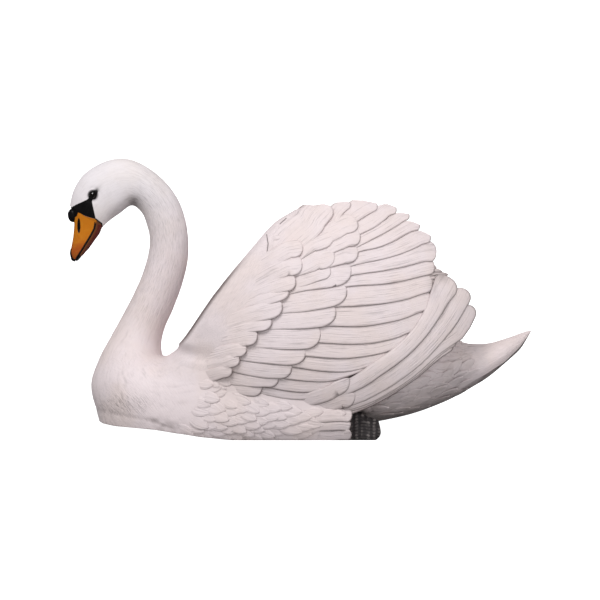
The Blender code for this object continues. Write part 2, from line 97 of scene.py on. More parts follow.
BODY_RINGS = (
    ((-262, 165), (-408.5, 107), 103, 2.0, 0.0), ((-254, 167), (-397, 54), 122, 2.1, 0.0),
    ((-246, 171), (-374, -2), 136, 2.2, 0.0), ((-236, 178), (-314, -34), 148, 2.4, 0.02),
    ((-208, 190), (-222, -40), 159, 2.6, 0.05), ((-140, 212), (-140, -42), 167, 2.6, 0.08),
    ((-60, 230), (-60, -42), 171, 2.6, 0.1), ((40, 238), (40, -42), 170, 2.6, 0.1),
    ((92, 235), (92, -38), 163, 2.5, 0.1), ((108, 233), (108, 26), 156, 2.4, 0.08),
    ((160, 226), (160, 36), 138, 2.2, 0.05), ((220, 214), (220, 50), 114, 2.0, 0.0),
    ((280, 201), (280, 72), 88, 2.0, 0.0), ((325, 190), (325, 95), 62, 2.0, 0.0),
)
TAIL_RINGS = (
    ((365, 189), (365, 118.5), 46, 2.0, 0.2), ((405, 200), (405, 151.5), 33, 2.0, 0.2),
    ((432, 209.5), (432, 177.5), 18, 2.0, 0.1), ((450.5, 215.5), (450.5, 209), 5, 2.0, 0.0),
)
SKIN_TABLE = [(*top, *low, half, square, full)
              for top, low, half, square, full in HEAD_RINGS + NECK_RINGS + BODY_RINGS + TAIL_RINGS]
# Stretches of the table and the number of lofted rings in each, and the points in a ring.
SKIN_STEPS = ((0, 4, 60), (4, 8, 42), (8, 15, 84), (15, 20, 46), (20, 28, 38), (28, 33, 66))
SKIN_AROUND = 232
# How deep the skin lies under the solids from the head to the neck, at places in the table,
# and the places where the joints of the wings, the combed breast and the tail begin.
HEAD_DEPTH = ((0, 0.3), (3, 0.4), (15, 0.6))
JOINT_START, COMB_START, TAIL_START = 12.5, 14.6, 26
# Where the underside is cut off, and the groove over the rim under the breast.
KEEL = ((-440, 58), (-399, 42), (-384, 33), (-362, 28), (-284, 21), (-194, 6), (-130, 0), (500, 0))
RIM_LINE = ((-399, 61), (-352, 52), (-335, 47), (-308, 43), (-286, 38), (-263, 29), (-246, 23))

# Outer face of the raised wings, and the core that carries their feathers.
SHELL_CENTRE, SHELL_RADII, SHELL_FLATTEST = (0, 220), (362, 200, 310), 0.04
LOW_EDGE, LOW_PULL = 150, 0.12
ARM_EDGE = ((-252, 152), (-247, 172), (-216, 213), (-166, 286), (-99, 368), (-49, 424), (8, 457))
PANEL_EDGE = ((110, 64), (200, 118), (256, 185), (262, 250), (240, 318), (205, 372), (140, 425), (72, 452))
ARM_RADIUS = ((0.0, 42), (0.2, 33), (0.5, 26), (1.0, 15))
PANEL_THICK, PANEL_SINK, PANEL_THINNING, END_DIVE = 13, 5, 0.6, 6
# The ball that fills the shoulder, and its distance from the middle plane.
SHOULDER_CENTRE, SHOULDER_RADII, SHOULDER_PLACE = (-182, 140), (75, 58, 74), 101
# Where the joint of wing and body is smoothed widest, and its first and last distances.
SEAM_CENTRE, SEAM_REACH, SEAM_RANGE, CREASE_RANGE = (-190, 150), (78, 72), (8, 36), (10, 40)
# The recess behind the flank, over the feet.
RECESS_FRONT, RECESS_TOP, RECESS_HALF = 95.5, 70, 88
# Tool marks: width, length and seed of fine, broad and bold strokes, and their way on the arm.
TOOLS = ((2.3, 20, 11), (4.6, 34, 12), (8.0, 46, 13))
ARM_WAY = (0.62, 0.0, 0.78)

# Feathers of a wing: lower edge from the root to where the tip turns, tip, share of the
# width under the tip, how long the turn is below and above the tip, and sometimes a width.
SECONDARIES = (
    (((0,302), (23,339), (47,378), (70,416), (80,435), (94,450)), (98,463), 0.3, 10, 17, 30),
    (((12,300), (43,345), (78,390), (111,424), (126,434), (140,442), (147,451)), (150,461), 0.28, 9, 38),
    (((23,304), (58,347), (88,378), (122,402), (152,417), (170,432), (185,444)), (188,453), 0.3, 9, 40),
    (((23,296), (49,328), (78,355), (116,377), (146,392), (170,405), (199,423), (211,431)), (213,440),
     0.28, 9, 42),
    (((20,292), (43,322), (78,347), (114,365), (146,372), (181,385), (208,401), (230,411)), (234,419),
     0.28, 9, 42),
    (((10,277), (39,306), (70,326), (102,338), (136,346), (177,355), (205,365), (232,377), (250,387)),
     (255,398), 0.33, 10, 38),
    (((-4,265), (29,291), (62,310), (102,320), (158,328), (199,335), (238,345), (257,351)), (266,369), 0.5,
     12, 24),
    (((-16,244), (20,267), (55,287), (92,298), (152,302), (196,308), (234,317), (250,323)), (262,342),
     0.52, 13, 20),
    (((-31,218), (0,238), (35,252), (72,258), (122,261), (167,266), (205,273), (235,284), (248,291)),
     (258,311), 0.52, 15, 20),
    (((-55,191), (-20,209), (16,218), (53,221), (98,220), (134,222), (167,228), (205,238), (235,252)),
     (256,279), 0.55, 22, 16),
    (((-70,176), (-35,185), (0,189), (41,189), (98,185), (137,188), (176,194), (205,206), (226,222)),
     (248,242), 0.5, 18, 16),
    (((-94,162), (-58,166), (-23,165), (14,162), (74,158), (122,162), (158,169), (187,180)), (216,203),
     0.5, 18, 16),
    (((-117,158), (-82,152), (-49,146), (-12,141), (32,134), (74,131), (107,135), (137,146)), (172,168),
     0.5, 18, 16),
    (((-125,142), (-94,131), (-62,123), (-33,119), (2,115), (38,113), (68,118), (98,128)), (129,144), 0.5,
     18, 16),
    (((-133,125), (-101,111), (-78,104), (-55,100), (-16,93), (14,93), (50,100)), (88,117), 0.5, 18, 16),
    (((-117,99), (-74,88), (-39,81), (-7,78), (11,78), (32,83)), (70,101), 0.5, 16, 16),
)
# No feather rises over this line, and these two give the widths of the outermost primary and
# of the foremost covert.
TOP_LINE = ((-117, 348), (-87, 383), (-57, 414.5), (-27.5, 437), (7, 459), (14, 458), (26, 456), (38, 459),
            (62, 462), (92, 464.5), (99, 464.5), (101, 480), (400, 480))
P1_LINE = ((-60, 62), (-7, 80), (44, 93), (88, 118), (117, 134.5), (154, 160), (192, 187.5), (216.5, 215),
           (229, 233), (243, 254), (250, 268), (251, 283), (248, 300), (247, 318), (248, 348))
M1_LINE = ((-110, 330), (-75, 374), (-48, 407), (-20, 430), (6, 445), (30, 452), (58, 461), (76, 464))
PRIMARIES = (
    (((-20,55), (20,59), (49,68), (74,79), (98,90), (117,98.4), (142,112.7), (167,132), (192,148.5),
     (216.5,169.3), (241.4,194.8), (266,224.7), (286.7,252), (301,272)), (290,318), 0.56, 28, 15, P1_LINE),
    (((0,45), (35,51), (62,56), (88,62), (117,71), (142,83), (167,98), (192,113), (216.5,131),
     (241.4,151.3), (266,176.8), (291,206), (311,234), (327,262.5)), (323,294), 0.5, 19, 16, 38),
    (((4,39), (39,43), (66,48), (88,55), (107,60), (129.5,66), (154,79), (179,93.5), (204,108.4),
     (229,127.7), (254,149.4), (279,172), (303.5,188), (315,196), (326,208), (336,232)), (335,262), 0.5,
     19, 15, 34),
    (((10,34), (43,38), (74,47), (96,55), (117,60), (142,69.5), (167,83.5), (192,98), (216.5,115.3),
     (241.4,134), (266,157), (287,175)), (304,193), 0.5, 12, 12, 14),
    (((16,27), (47,31), (78,41), (101,52), (117,57.5), (142,66), (167,80.4), (192,96), (216.5,112.7),
     (241.4,130.8), (266,153.2), (283,168)), (298,184), 0.5, 12, 12, 14),
)
GREATER_COVERTS = (
    (((-27,308), (0,335), (29,363), (66,387), (89,398), (101,408)), (113,424), 0.42, 17, 24, 40),
    (((-20,292), (10,322), (39,347), (74,367), (92,374), (105,381)), (118,398), 0.42, 18, 24, 44),
    (((-29,273), (0,300), (35,324), (70,337), (90,342), (101,346)), (114,365), 0.58, 26, 14),
    (((-105,250), (-74,265), (-25,281), (26,287), (65,296), (84,301)), (101,329), 0.62, 39, 14),
    (((-117,222), (-82,236), (-36,244), (2,248), (50,256), (72,261)), (92,291), 0.62, 39, 14),
    (((-136,201), (-101,209), (-57,213), (2,215), (35,218), (53,220)), (71,250), 0.62, 39, 14),
    (((-164,191), (-133,184), (-90,178), (-39,175), (2,176), (21,178)), (41,206), 0.62, 33, 14),
    (((-183,172), (-152,163), (-117,154), (-87,150), (-39,145), (-7,146)), (12,168), 0.6, 30, 12),
    (((-183,150), (-152,138), (-117,128), (-81,121), (-45,119), (-31,120)), (-15,139), 0.6, 24, 12),
    (((-183,121), (-152,110), (-117,105), (-87,103), (-58,103)), (-41,116), 0.6, 20, 10),
    (((-176,101), (-146,93), (-117,87), (-99,85), (-88,85)), (-73,99), 0.6, 18, 10),
    (((-179,86), (-152,76), (-129,71), (-113,71)), (-97,84), 0.6, 16, 10),
)
MEDIAN_COVERTS = (
    (((-47,300), (-23,330), (-4,357), (10,374), (27,389), (44,408), (52,432)), (60,456), 0.3, 14, 20,
     M1_LINE),
    (((-55,298), (-29,320), (-8,337), (14,352), (39,369)), (65,399), 0.6, 28, 13),
    (((-82,283), (-55,296), (-12,312), (26,323), (47,332)), (68,364), 0.6, 29, 14),
    (((-58,269), (-29,285), (0,296), (23,304), (41,310)), (61,332), 0.6, 20, 12),
    (((-90,312), (-55,334), (-25,350), (-10,357)), (6,377), 0.55, 20, 14, 34),
    (((-105,277), (-74,295), (-37,312), (-14,320)), (5,343), 0.55, 23, 14),
    (((-117,257), (-86,271), (-55,280), (-27,288)), (-8,312), 0.55, 20, 12),
    (((-133,238), (-98,251), (-62,262), (-39,271)), (-21,291), 0.55, 19, 12),
    (((-168,203), (-133,214), (-93,226), (-58,234)), (-34,264), 0.6, 29, 12),
    (((-172,191), (-140,198), (-105,206), (-78,210)), (-54,231), 0.6, 25, 12),
    (((-168,170), (-140,176), (-111,181), (-98,184)), (-82,204), 0.6, 20, 11),
    (((-183,144), (-152,152), (-129,160), (-117,163)), (-103,177), 0.55, 16, 10),
    (((-195,123), (-164,131), (-140,138), (-130,144)), (-117,160), 0.55, 14, 10),
    (((-214,99), (-185,107), (-162,116), (-144,122)), (-131,136), 0.55, 14, 10),
)
PLUMES = (
    (((-62,43), (-29,51), (0,59), (32,68), (59,76), (77,86), (88,98)), (98,120), 0.84, 34, 16, 30),
    (((-35,20), (0,31), (35,43), (62,54.5), (89,63.5), (100,70)), (109,86), 0.72, 20, 10, 36),
)
FLANK_ENDS = (
    (((-39,16), (0,28), (55,34), (86,36)), (101.5,47), 0.5, 9, 9, 27),
    (((-39,4), (0,13), (55,17), (84,18)), (98.5,27), 0.5, 8, 8, 24),
    (((-39,-8), (0,-6), (55,-3), (86,0)), (100.5,9), 0.5, 8, 8, 22),
)
WRIST_LEAVES = (
    (((-39,417), (-24,423), (-10,428)), (-4,432), 0.4, 6, 9, 10),
    (((-57,398), (-39,402), (-24,409)), (-14,417), 0.4, 7, 12, 13),
    (((-68,384), (-53,387), (-40,390)), (-35,398), 0.5, 7, 9, 14),
)
TUFT = (
    (((212,328), (240,332), (256,334)), (266,336), 0.5, 12, 12, 9),
    (((214,320), (245,325), (262,328)), (277,328), 0.5, 14, 14, 8),
    (((216,313), (250,318), (270,321)), (289,322), 0.5, 16, 16, 8),
    (((216,306), (245,311), (262,313)), (278,315), 0.5, 14, 14, 8),
    (((216,300), (245,303), (258,305)), (270,309), 0.5, 12, 12, 8),
)
# Thickness, height over the shell, tilt towards the lower edge, share of the length where
# the full height is reached, depth of the rounded edge, and crown, all in millimetres.
SECONDARY_SHAPE = dict(thick=5.0, height=0.0, lift=2.6, rise=0.3, drop=4.0, crown=1.0)
PRIMARY_SHAPE = dict(thick=5.5, height=1.0, lift=2.0, rise=0.3, drop=4.0, crown=1.6)
GREATER_SHAPE = dict(thick=7.5, height=3.6, lift=2.6, rise=0.75, drop=4.8, crown=1.1)
MEDIAN_SHAPE = dict(thick=9.5, height=5.0, lift=2.0, rise=0.85, drop=4.2, crown=1.0)
PLUME_SHAPE = dict(thick=12.0, height=6.5, lift=2.0, rise=0.8, drop=5.0, crown=1.6)
LEAF_SHAPE = dict(thick=5.0, height=1.9, lift=1.0, rise=0.7, drop=2.2, crown=1.0)
FLANK_SHAPE = dict(thick=9.0, height=3.0, lift=1.6, rise=0.9, drop=4.5, crown=1.2)
TUFT_SHAPE = dict(thick=4.0, height=-2.5, lift=1.0, rise=0.3, drop=2.0, crown=0.6)
LINING_SHAPE = dict(thick=5.0, lift=1.8, rise=0.5, drop=3.2, crown=0.8)
# Rows on the inner face: count, start, end and turn of the tip; height; number of the first.
LININGS = (((15, 0.42, 0.93, 12), 1.6, 120), ((14, 0.24, 0.60, 14), 3.4, 140),
           ((16, 0.12, 0.34, 10), 4.8, 160))
# Painted shade on the tucked tuft, and on the secondaries' ends that go under the first primary: centre and
# reach of each.
TUFT_SHADE, TUCKED_ENDS_SHADE = ((276, 321), (14, 12)), ((261, 300), (8, 24))
# Depth of a feather's root, how far it reaches under the one above, the limits of its width,
# its rings, the roundness of a blunt and of a pointed tip, and the shares of its width at
# which its top and its underside have points.
ROOT_HEIGHT, FEATHER_OVERLAP = -9.5, 10
NARROWEST, WIDEST = 14, 70
SIDE_STEPS, TIP_STEPS, TIP_POWER, POINTED = 20, 14, 2.1, 1.08
TOP_SHARES = (1, 0.965, 0.9, 0.78, 0.6, 0.4, 0.2)
LOW_SHARES = (0.93, 0.7, 0.35)

# Lower border of the pale upper side of the tail, its ridge, and the underside's lowest line.
TAIL_SHEET = ((300, 90), (320, 104), (335, 113), (365, 130), (400, 153), (430, 183), (452, 213))
TAIL_RIDGE = ((280, 201), (325, 190), (365, 189), (405, 200), (452.5, 214))
UNDER_LINE = ((100, 20), (160, 36), (220, 50), (280, 72), (325, 94), (354, 112), (374, 131), (408, 158),
              (434, 183), (452, 212))

# Rings of the bill: top point, low point and half width. Then its nail, its mouth, its slit
# of a nostril, the knob, an eye, and the borders of the black and the orange paint.
BILL_RINGS = (
    ((-448, 458), (-386, 414), 20.5), ((-441, 427), (-391, 402), 18), ((-442, 402), (-401, 388), 17),
    ((-445.5, 380), (-411, 374), 16.5), ((-448.5, 365), (-421, 362), 14), ((-446.5, 354.5), (-429, 354), 8),
)
BILL_TIP = (-438.5, 348.5)
NAIL_LINE = ((-449, 372), (-449, 363), (-446.5, 355), (-441.5, 350), (-435, 350.5), (-429.5, 357))
NAIL_WIDTH = 2.9
BILL_SQUARE, BILL_FULL = 2.3, 0.1
# Points in a ring of the bill, and how far its first ring goes into the head, in metres.
BILL_AROUND, BILL_ROOT_SHIFT = 144, (0.0017, 0.0, 0.0025)
MOUTH_LINE = ((-396, 436), (-398, 426), (-400.5, 412), (-407, 399.5), (-416, 384.5), (-425, 370),
              (-434, 356), (-441, 343))
NOSTRIL_TOP, NOSTRIL_LOW, NOSTRIL_WIDTH = (-431, 432), (-432, 404), 2.9
KNOB_CENTRE, KNOB_RADII = (-442, 438.5), (11.3, 10.5, 14)
EYE_CENTRE, EYE_RADIUS, EYE_SINK = (-404, 478), 8.0, 4.4
LORES = ((-449, 451), (-443.6, 455.3), (-433, 460.6), (-423, 465), (-415.7, 468.8), (-412, 471.5),
         (-410.5, 478.7), (-407, 484), (-398.4, 487.5), (-394, 485.8), (-396, 477), (-398.4, 470.2),
         (-404.4, 469.2), (-405.8, 465), (-403.7, 454.4), (-401, 442.3), (-398.4, 431), (-408.7, 433.5),
         (-419.3, 437), (-427, 441.3), (-433, 443.6), (-435, 437), (-452, 425), (-455, 440))
ORANGE_BACK = ((-398.4, 431), (-387, 422.2), (-385.3, 413))

# Grooves at the wrist of the wing, not cut but painted dark with a bump, as groove lines and as the shade
# under the small feathers' edges: two ends and half the width, in millimetres.
WRIST_MARKS = (((-65, 400), (-62, 382), 1.3), ((-62, 382), (-64, 366), 1.5), ((-64.5, 360), (-68, 354), 2.6),
               ((-41, 410), (-38, 390), 1.5), ((-36.5, 402), (-13, 416), 1.3), ((-39, 421), (-27, 432), 1.6),
               ((7, 457), (-2, 439), 3.2), ((-2, 439), (-16, 430), 2.2), ((23, 454), (8, 437), 2.2),
               ((8, 437), (-6, 428), 1.6))

# Side view outlines of the parts that carry small feathers.
FLANK_ZONE = ((-262, 100), (-215, 140), (-186, 152), (-160, 140), (-133, 118), (-117, 100), (-74, 84),
              (0, 60), (52, 50), (56, -6), (-195, -6), (-240, 12), (-258, 36), (-282, 60))
UNDERTAIL_ZONE = ((120, 40), (120, 24), (160, 30), (220, 44), (280, 66), (312, 84), (318, 96), (322, 150),
                  (318, 180), (290, 178), (250, 150), (210, 116), (170, 88), (130, 66))
# The ruffled patch where the wing meets the flank.
RUFFLE_CENTRE, RUFFLE_REACH = (-168, 106), (34, 26)
# A line from the side grazes the skin where its normal leans less than this towards the side.
SIDE_GRAZE = 0.12
# First and last row of the back's feathers in the table, and what a small feather grows from.
BACK_START, BACK_END = 18.6, 29.3
ROOT_VALUES = ("root", "facing", "size", "ruffle", "strength")

# A foot: its front, top, distance from the middle plane and half width, and at each height how
# far back it reaches and what share of the width it has.
FOOT_FRONT, FOOT_TOP, FOOT_MIDDLE, FOOT_HALF = 95, 52, 104, 17
FOOT_BACK = ((0, 147), (5, 153), (9, 156), (14, 157.5), (20, 157), (31, 155), (38, 153), (42, 146),
             (46, 133), (52, 122))
FOOT_DEPTH = ((0, 0.82), (3, 0.94), (8, 1.0), (40, 1.0), (52, 0.75))
FOOT_SQUARE = 0.45

# Second colours of the paint, beside those in the panel; the brown one is painted shade on the wing's front
# border.
WARM_TINT, HEAD_PAINT, EDGE_SHADE_BROWN = (0.99, 0.97, 0.935), (0.79, 0.755, 0.785), (0.075, 0.05, 0.044)
EYE_PAINT, EYE_GLASS = (0.018, 0.016, 0.018), (0.003, 0.002, 0.002)
BILL_RED, BILL_YELLOW = (0.36, 0.070, 0.010), (0.60, 0.24, 0.010)
MOUTH_PAINT, MOUTH_DEEP, TOE_PAINT = (0.15, 0.05, 0.016), (0.10, 0.014, 0.008), (0.26, 0.23, 0.225)
WHITE, FLOOR_GREY, LAMP_COLOUR = (1.0, 1.0, 1.0), (0.4, 0.4, 0.4), (1.0, 0.992, 0.985)

# The stage in metres: the floor, what the lamps aim at, each lamp's place, width and share of
# the key power, and what the camera takes in.
FLOOR_REACH, LAMP_AIM, GLOSSY_SKY = 14.0, (0, 0, 0.22), 0.06
LAMPS = (("key", (-1.1, -2.8, 3.3), 2.0, 1.0), ("side", (2.6, -2.4, 1.2), 1.8, 0.26))
PICTURE_WIDTH, PICTURE_PLANE, PICTURE_MIDDLE, SENSOR = 1.17, -0.03, 0.273, 36.0


# ---------------------------------------------------------------- curves and fields

def curve_at(points, t):
    """A smooth curve through the points, read at shares t from 0 to 1."""
    rows = np.asarray(points, float)
    place = np.clip(np.asarray(t, float), 0, 1) * (len(rows) - 1)
    i = np.minimum(place.astype(int), len(rows) - 2)
    f = (place - i)[..., None]
    a, b = rows[np.maximum(i - 1, 0)], rows[i]
    c, d = rows[i + 1], rows[np.minimum(i + 2, len(rows) - 1)]
    return 0.5 * (2 * b + (c - a) * f + (2 * a - 5 * b + 4 * c - d) * f**2 + (3 * b - a - 3 * c + d) * f**3)


def even_curve(points, count):
    """A smooth curve read at even distances, and its length."""
    fine = curve_at(points, np.linspace(0, 1, 300))
    way = np.concatenate([[0], np.cumsum(np.linalg.norm(np.diff(fine, axis=0), axis=1))])
    at = np.linspace(0, way[-1], count)
    return np.stack([np.interp(at, way, fine[:, k]) for k in range(fine.shape[1])], 1), way[-1]


def level_at(points, x):
    rows = np.asarray(points, float)
    return np.interp(x, rows[:, 0], rows[:, 1])


def ease(value, low, high):
    """Rises smoothly from 0 at low to 1 at high."""
    share = np.clip((np.asarray(value, float) - low) / (high - low), 0, 1)
    return share * share * (3 - 2 * share)


def bell(value, middle, width):
    """One at the middle, falling smoothly to nothing on both sides."""
    return np.exp(-(((value - middle) / width) ** 2))


def spot(x, z, centre, reach):
    """One at a side view point, falling smoothly to nothing round it."""
    return np.exp(-(((x - centre[0]) / reach[0]) ** 2 + ((z - centre[1]) / reach[1]) ** 2))


def line_distance(x, z, points):
    """Distance of side view points from a line of points."""
    best = np.full(np.shape(x), 1e9)
    for (ax, az), (bx, bz) in zip(points, points[1:]):
        dx, dz = bx - ax, bz - az
        share = np.clip(((x - ax) * dx + (z - az) * dz) / (dx * dx + dz * dz), 0, 1)
        best = np.minimum(best, np.hypot(x - ax - share * dx, z - az - share * dz))
    return best


def inside(x, z, outline):
    """True for side view points inside a closed outline."""
    odd = np.zeros(np.shape(x), bool)
    for (ax, az), (bx, bz) in zip(outline, (*outline[1:], outline[0])):
        cross = (az > z) != (bz > z)
        at = ax + (z - az) * (bx - ax) / ((bz - az) or 1e-9)
        odd ^= cross & (x < at)
    return odd


def signed_distance(x, z, outline):
    """Distance from a closed outline, negative inside it."""
    far = line_distance(x, z, (*outline, outline[0]))
    return np.where(inside(x, z, outline), -far, far)


def random_grid(x, y, z, seed):
    """A random number from -1 to 1 for each whole number cell."""
    mixed = x * 73856093 ^ y * 19349663 ^ z * 83492791 ^ seed * 2654435761
    mixed = (mixed ^ (mixed >> 13)) * 1274126177 & 0x7FFFFFFF
    mixed = (mixed ^ (mixed >> 15)) & 0xFFFFF
    return mixed / 524287.5 - 1


def noise(points, seed):
    """Smooth noise from -1 to 1 at each row of points."""
    low = np.floor(points)
    f = points - low
    f = f * f * (3 - 2 * f)
    x, y, z = (low[:, k].astype(np.int64) for k in range(3))
    total = np.zeros(len(points))
    for i in (0, 1):
        for j in (0, 1):
            for k in (0, 1):
                share = (f[:, 0] if i else 1 - f[:, 0]) * (f[:, 1] if j else 1 - f[:, 1])
                share = share * (f[:, 2] if k else 1 - f[:, 2])
                total += share * random_grid(x + i, y + j, z + k, seed)
    return total


def strokes(points, way, width, length, seed, steps=7):
    """Noise drawn out along a direction, like the marks of a modelling tool."""
    total, weights = np.zeros(len(points)), 0.0
    for k in range(steps):
        share = 2 * k / (steps - 1) - 1
        weight = math.cos(share * math.pi / 2.4) ** 2
        total += weight * noise((points + way * (share * length / 2)) / width, seed)
        weights += weight
    return total / weights * 1.9


# ---------------------------------------------------------------- meshes

def new_object(name, mesh):
    made = bpy.data.objects.new(name, mesh)
    bpy.context.scene.collection.objects.link(made)
    return made


def set_numbers(mesh, name, values):
    """Stores one number, or one vector, for each vertex."""
    values = np.asarray(values, np.float32)
    single = values.ndim == 1
    layer = mesh.attributes.new(name, "FLOAT" if single else "FLOAT_VECTOR", "POINT")
    layer.data.foreach_set("value" if single else "vector", values.ravel())


def rows_of(items, name, wide=3, kind=np.float32):
    """One value of every item in a collection, as a row of numbers each."""
    found = np.empty(len(items) * wide, kind)
    items.foreach_get(name, found)
    return found.reshape(-1, wide).astype(float if kind is np.float32 else int)


def points_of(mesh):
    return rows_of(mesh.vertices, "co")


def normals_of(mesh):
    return rows_of(mesh.vertex_normals, "vector")


def edges_of(mesh):
    return rows_of(mesh.edges, "vertices", 2, np.int32)


def move_points(mesh, points):
    mesh.vertices.foreach_set("co", np.asarray(points, np.float32).ravel())
    mesh.update()


def pushed(points, normals, far):
    """Points moved along their normals by millimetres."""
    return points + normals * (far * MM)[:, None]


def roughen(mesh, *sizes):
    """The unevenness of a casting, from noises given as height, width and seed."""
    points = points_of(mesh)
    rough = sum(height * noise(points / MM / width, seed) for height, width, seed in sizes)
    points = pushed(points, normals_of(mesh), rough)
    points[:, 2] = np.maximum(points[:, 2], 0.0)
    move_points(mesh, points)


def grid_faces(rows, around, first=0):
    """Quads of a closed loft of rings, with the ring and point number of each corner."""
    i, j = np.meshgrid(np.arange(rows - 1), np.arange(around), indexing="ij")
    i, j = i.ravel(), j.ravel()
    n = (j + 1) % around
    faces = np.stack([i * around + j, i * around + n, (i + 1) * around + n, (i + 1) * around + j], 1) + first
    corners = np.stack([np.stack([j, j + 1, j + 1, j], 1), np.stack([i, i, i + 1, i + 1], 1)], 2)
    return faces, corners


def loft(name, rings):
    """A closed mesh through rings of equal counts, in millimetres."""
    rings = np.asarray(rings, float)
    rows, around = rings.shape[:2]
    faces, _ = grid_faces(rows, around)
    faces = faces.tolist() + [list(range(around))[::-1], list(range((rows - 1) * around, rows * around))]
    mesh = bpy.data.meshes.new(name)
    mesh.from_pydata((rings.reshape(-1, 3) * MM).tolist(), [], faces)
    return outward(mesh)


def outward(mesh):
    shape = bmesh.new()
    shape.from_mesh(mesh)
    bmesh.ops.recalc_face_normals(shape, faces=shape.faces)
    shape.to_mesh(mesh)
    shape.free()
    mesh.update()
    return mesh


def tree_of(mesh):
    shape = bmesh.new()
    shape.from_mesh(mesh)
    found = BVHTree.FromBMesh(shape)
    shape.free()
    return found


def nearest_all(tree, points):
    """Distance of each point from a mesh."""
    return np.array([tree.find_nearest(Vector(p))[3] for p in points])


def distances(meshes, points, some):
    """Distance from the nearest of the meshes for some of the points, and a metre for the rest."""
    far = np.full(len(points), 1.0)
    far[some] = np.min([nearest_all(tree_of(mesh), points[some]) for mesh in meshes], axis=0)
    return far


def kd_of(points):
    tree = KDTree(len(points))
    for k, p in enumerate(points):
        tree.insert(p, k)
    tree.balance()
    return tree


def boolean(mesh, others, operation):
    """Joins or cuts one mesh with others, all of them closed."""
    target = new_object("target", mesh)
    group = bpy.data.collections.new("others")
    for other in others:
        group.objects.link(bpy.data.objects.new("other", other))
    change = target.modifiers.new("change", "BOOLEAN")
    change.operation, change.operand_type, change.solver = operation, "COLLECTION", "MANIFOLD"
    change.collection = group
    made = bpy.data.meshes.new_from_object(target.evaluated_get(bpy.context.evaluated_depsgraph_get()))
    for item in [target, *group.objects]:
        bpy.data.objects.remove(item, do_unlink=True)
    bpy.data.collections.remove(group)
    return made


def dress(item, material, slot, *nodes):
    """Gives a piece its finish, its body and the solids that it stands for."""
    item.data.materials.clear()
    item.data.materials.append(material)
    item.data.shade_smooth()
    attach(item, "root")
    if nodes:
        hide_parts(*nodes)
    return item


# ---------------------------------------------------------------- skin

def section_rings(numbers, around, square, full, grow=0.0):
    """Rings through rows of top point, low point and half width, each a rounded square."""
    centre, reach = (numbers[:, 0:2] + numbers[:, 2:4]) / 2, (numbers[:, 0:2] - numbers[:, 2:4]) / 2
    size = np.linalg.norm(reach, axis=1, keepdims=True)
    reach = reach * (size + grow) / size
    angle = 2 * np.pi * np.arange(around) / around
    c, s = np.cos(angle), np.sin(angle)
    along = np.sign(c) * np.abs(c) ** (2 / square)
    across = np.sign(s) * np.abs(s) ** (2 / square) * (1 - full * c)
    flat = centre[:, None] + reach[:, None] * along[..., None]
    return np.stack([flat[..., 0], -(numbers[:, 4:5] + grow) * across, flat[..., 1]], 2)


def skin_points(u, around, grow=0.0):
    """Rings of the skin at table places u, in millimetres."""
    numbers = curve_at(SKIN_TABLE, np.asarray(u, float) / (len(SKIN_TABLE) - 1))
    return section_rings(numbers, around, numbers[:, 5:6], numbers[:, 6:7], grow)


def skin_places():
    places = [np.linspace(a, b, n, endpoint=False) for a, b, n in SKIN_STEPS]
    return np.concatenate([*places, [SKIN_STEPS[-1][1]]])


def shell_y(x, z):
    """Distance of the wings' outer face from the middle plane."""
    across = ((x - SHELL_CENTRE[0]) / SHELL_RADII[0]) ** 2 + ((z - SHELL_CENTRE[1]) / SHELL_RADII[2]) ** 2
    face = SHELL_RADII[1] * np.sqrt(np.maximum(1 - across, SHELL_FLATTEST))
    return face - LOW_PULL * np.maximum(LOW_EDGE - z, 0.0)


def wing_core(ribs=100, steps=30):
    """Rings of the left wing's core, and its depth under the outer face at side view points."""
    shares = np.linspace(0, 1, steps) ** 1.9
    rings, places, depths = [], [], []
    for t in np.linspace(0, 1, ribs):
        front, back = curve_at(ARM_EDGE, t), curve_at(PANEL_EDGE, t)
        length = np.linalg.norm(back - front)
        radius = float(level_at(ARM_RADIUS, t))
        flat = front + (back - front) * shares[:, None]
        depth = np.minimum(shares * length / radius, 1.0)
        round_in = radius * np.sqrt(1 - (1 - depth) ** 2)
        past = np.maximum(shares * length - radius, 0.0) / (length - radius)
        thick = np.maximum(2 * round_in + (PANEL_THICK - 2 * radius) * past**PANEL_THINNING, 1.0)
        face = shell_y(flat[:, 0], flat[:, 1]) - PANEL_SINK - (radius - round_in)
        face = face - END_DIVE * (1 - float(ease(t, 0, 0.3))) * (1 - ease(flat[:, 0], -200, -110))
        outer = np.stack([flat[:, 0], -face, flat[:, 1]], 1)
        inner = np.stack([flat[:, 0], -face + thick, flat[:, 1]], 1)
        rings.append(np.concatenate([outer, inner[::-1]]))
        places.append(flat)
        depths.append(PANEL_SINK + radius - round_in + thick)
    return np.array(rings), np.concatenate(places), np.concatenate(depths)


def mirror_rings(rings):
    return np.asarray(rings)[:, ::-1] * (1, -1, 1)


def relax(points, edges, weight, times, axes=(0, 1, 2)):
    """Draws weighted points towards the middle of their neighbours, along some axes."""
    a, b = edges[:, 0], edges[:, 1]
    count = np.bincount(a, minlength=len(points)) + np.bincount(b, minlength=len(points))
    count = np.maximum(count, 1)
    points = points.copy()
    for _ in range(times):
        for k in axes:
            total = np.bincount(a, points[b, k], len(points)) + np.bincount(b, points[a, k], len(points))
            points[:, k] += 0.5 * weight * (total / count - points[:, k])
    return points


def fillet(points, normals, tree, reach):
    """Swells a surface where it comes near another, so that they meet in a soft hollow."""
    far = np.minimum(nearest_all(tree, points) / MM, reach)
    fade = 1 - ease(points[:, 0] / MM, 30, 90) * (1 - ease(points[:, 2] / MM, 70, 130))
    return points + normals * ((reach - far) ** 2 / (4 * reach) * fade * MM)[:, None]


def skin_ways(u, around):
    """Direction from the bill to the tail along the skin at each point."""
    ahead = skin_points(np.minimum(u + 0.02, SKIN_STEPS[-1][1]), around)
    behind = skin_points(np.maximum(u - 0.02, 0), around)
    way = (ahead - behind).reshape(-1, 3)
    return way / np.maximum(np.linalg.norm(way, axis=1, keepdims=True), 1e-9)


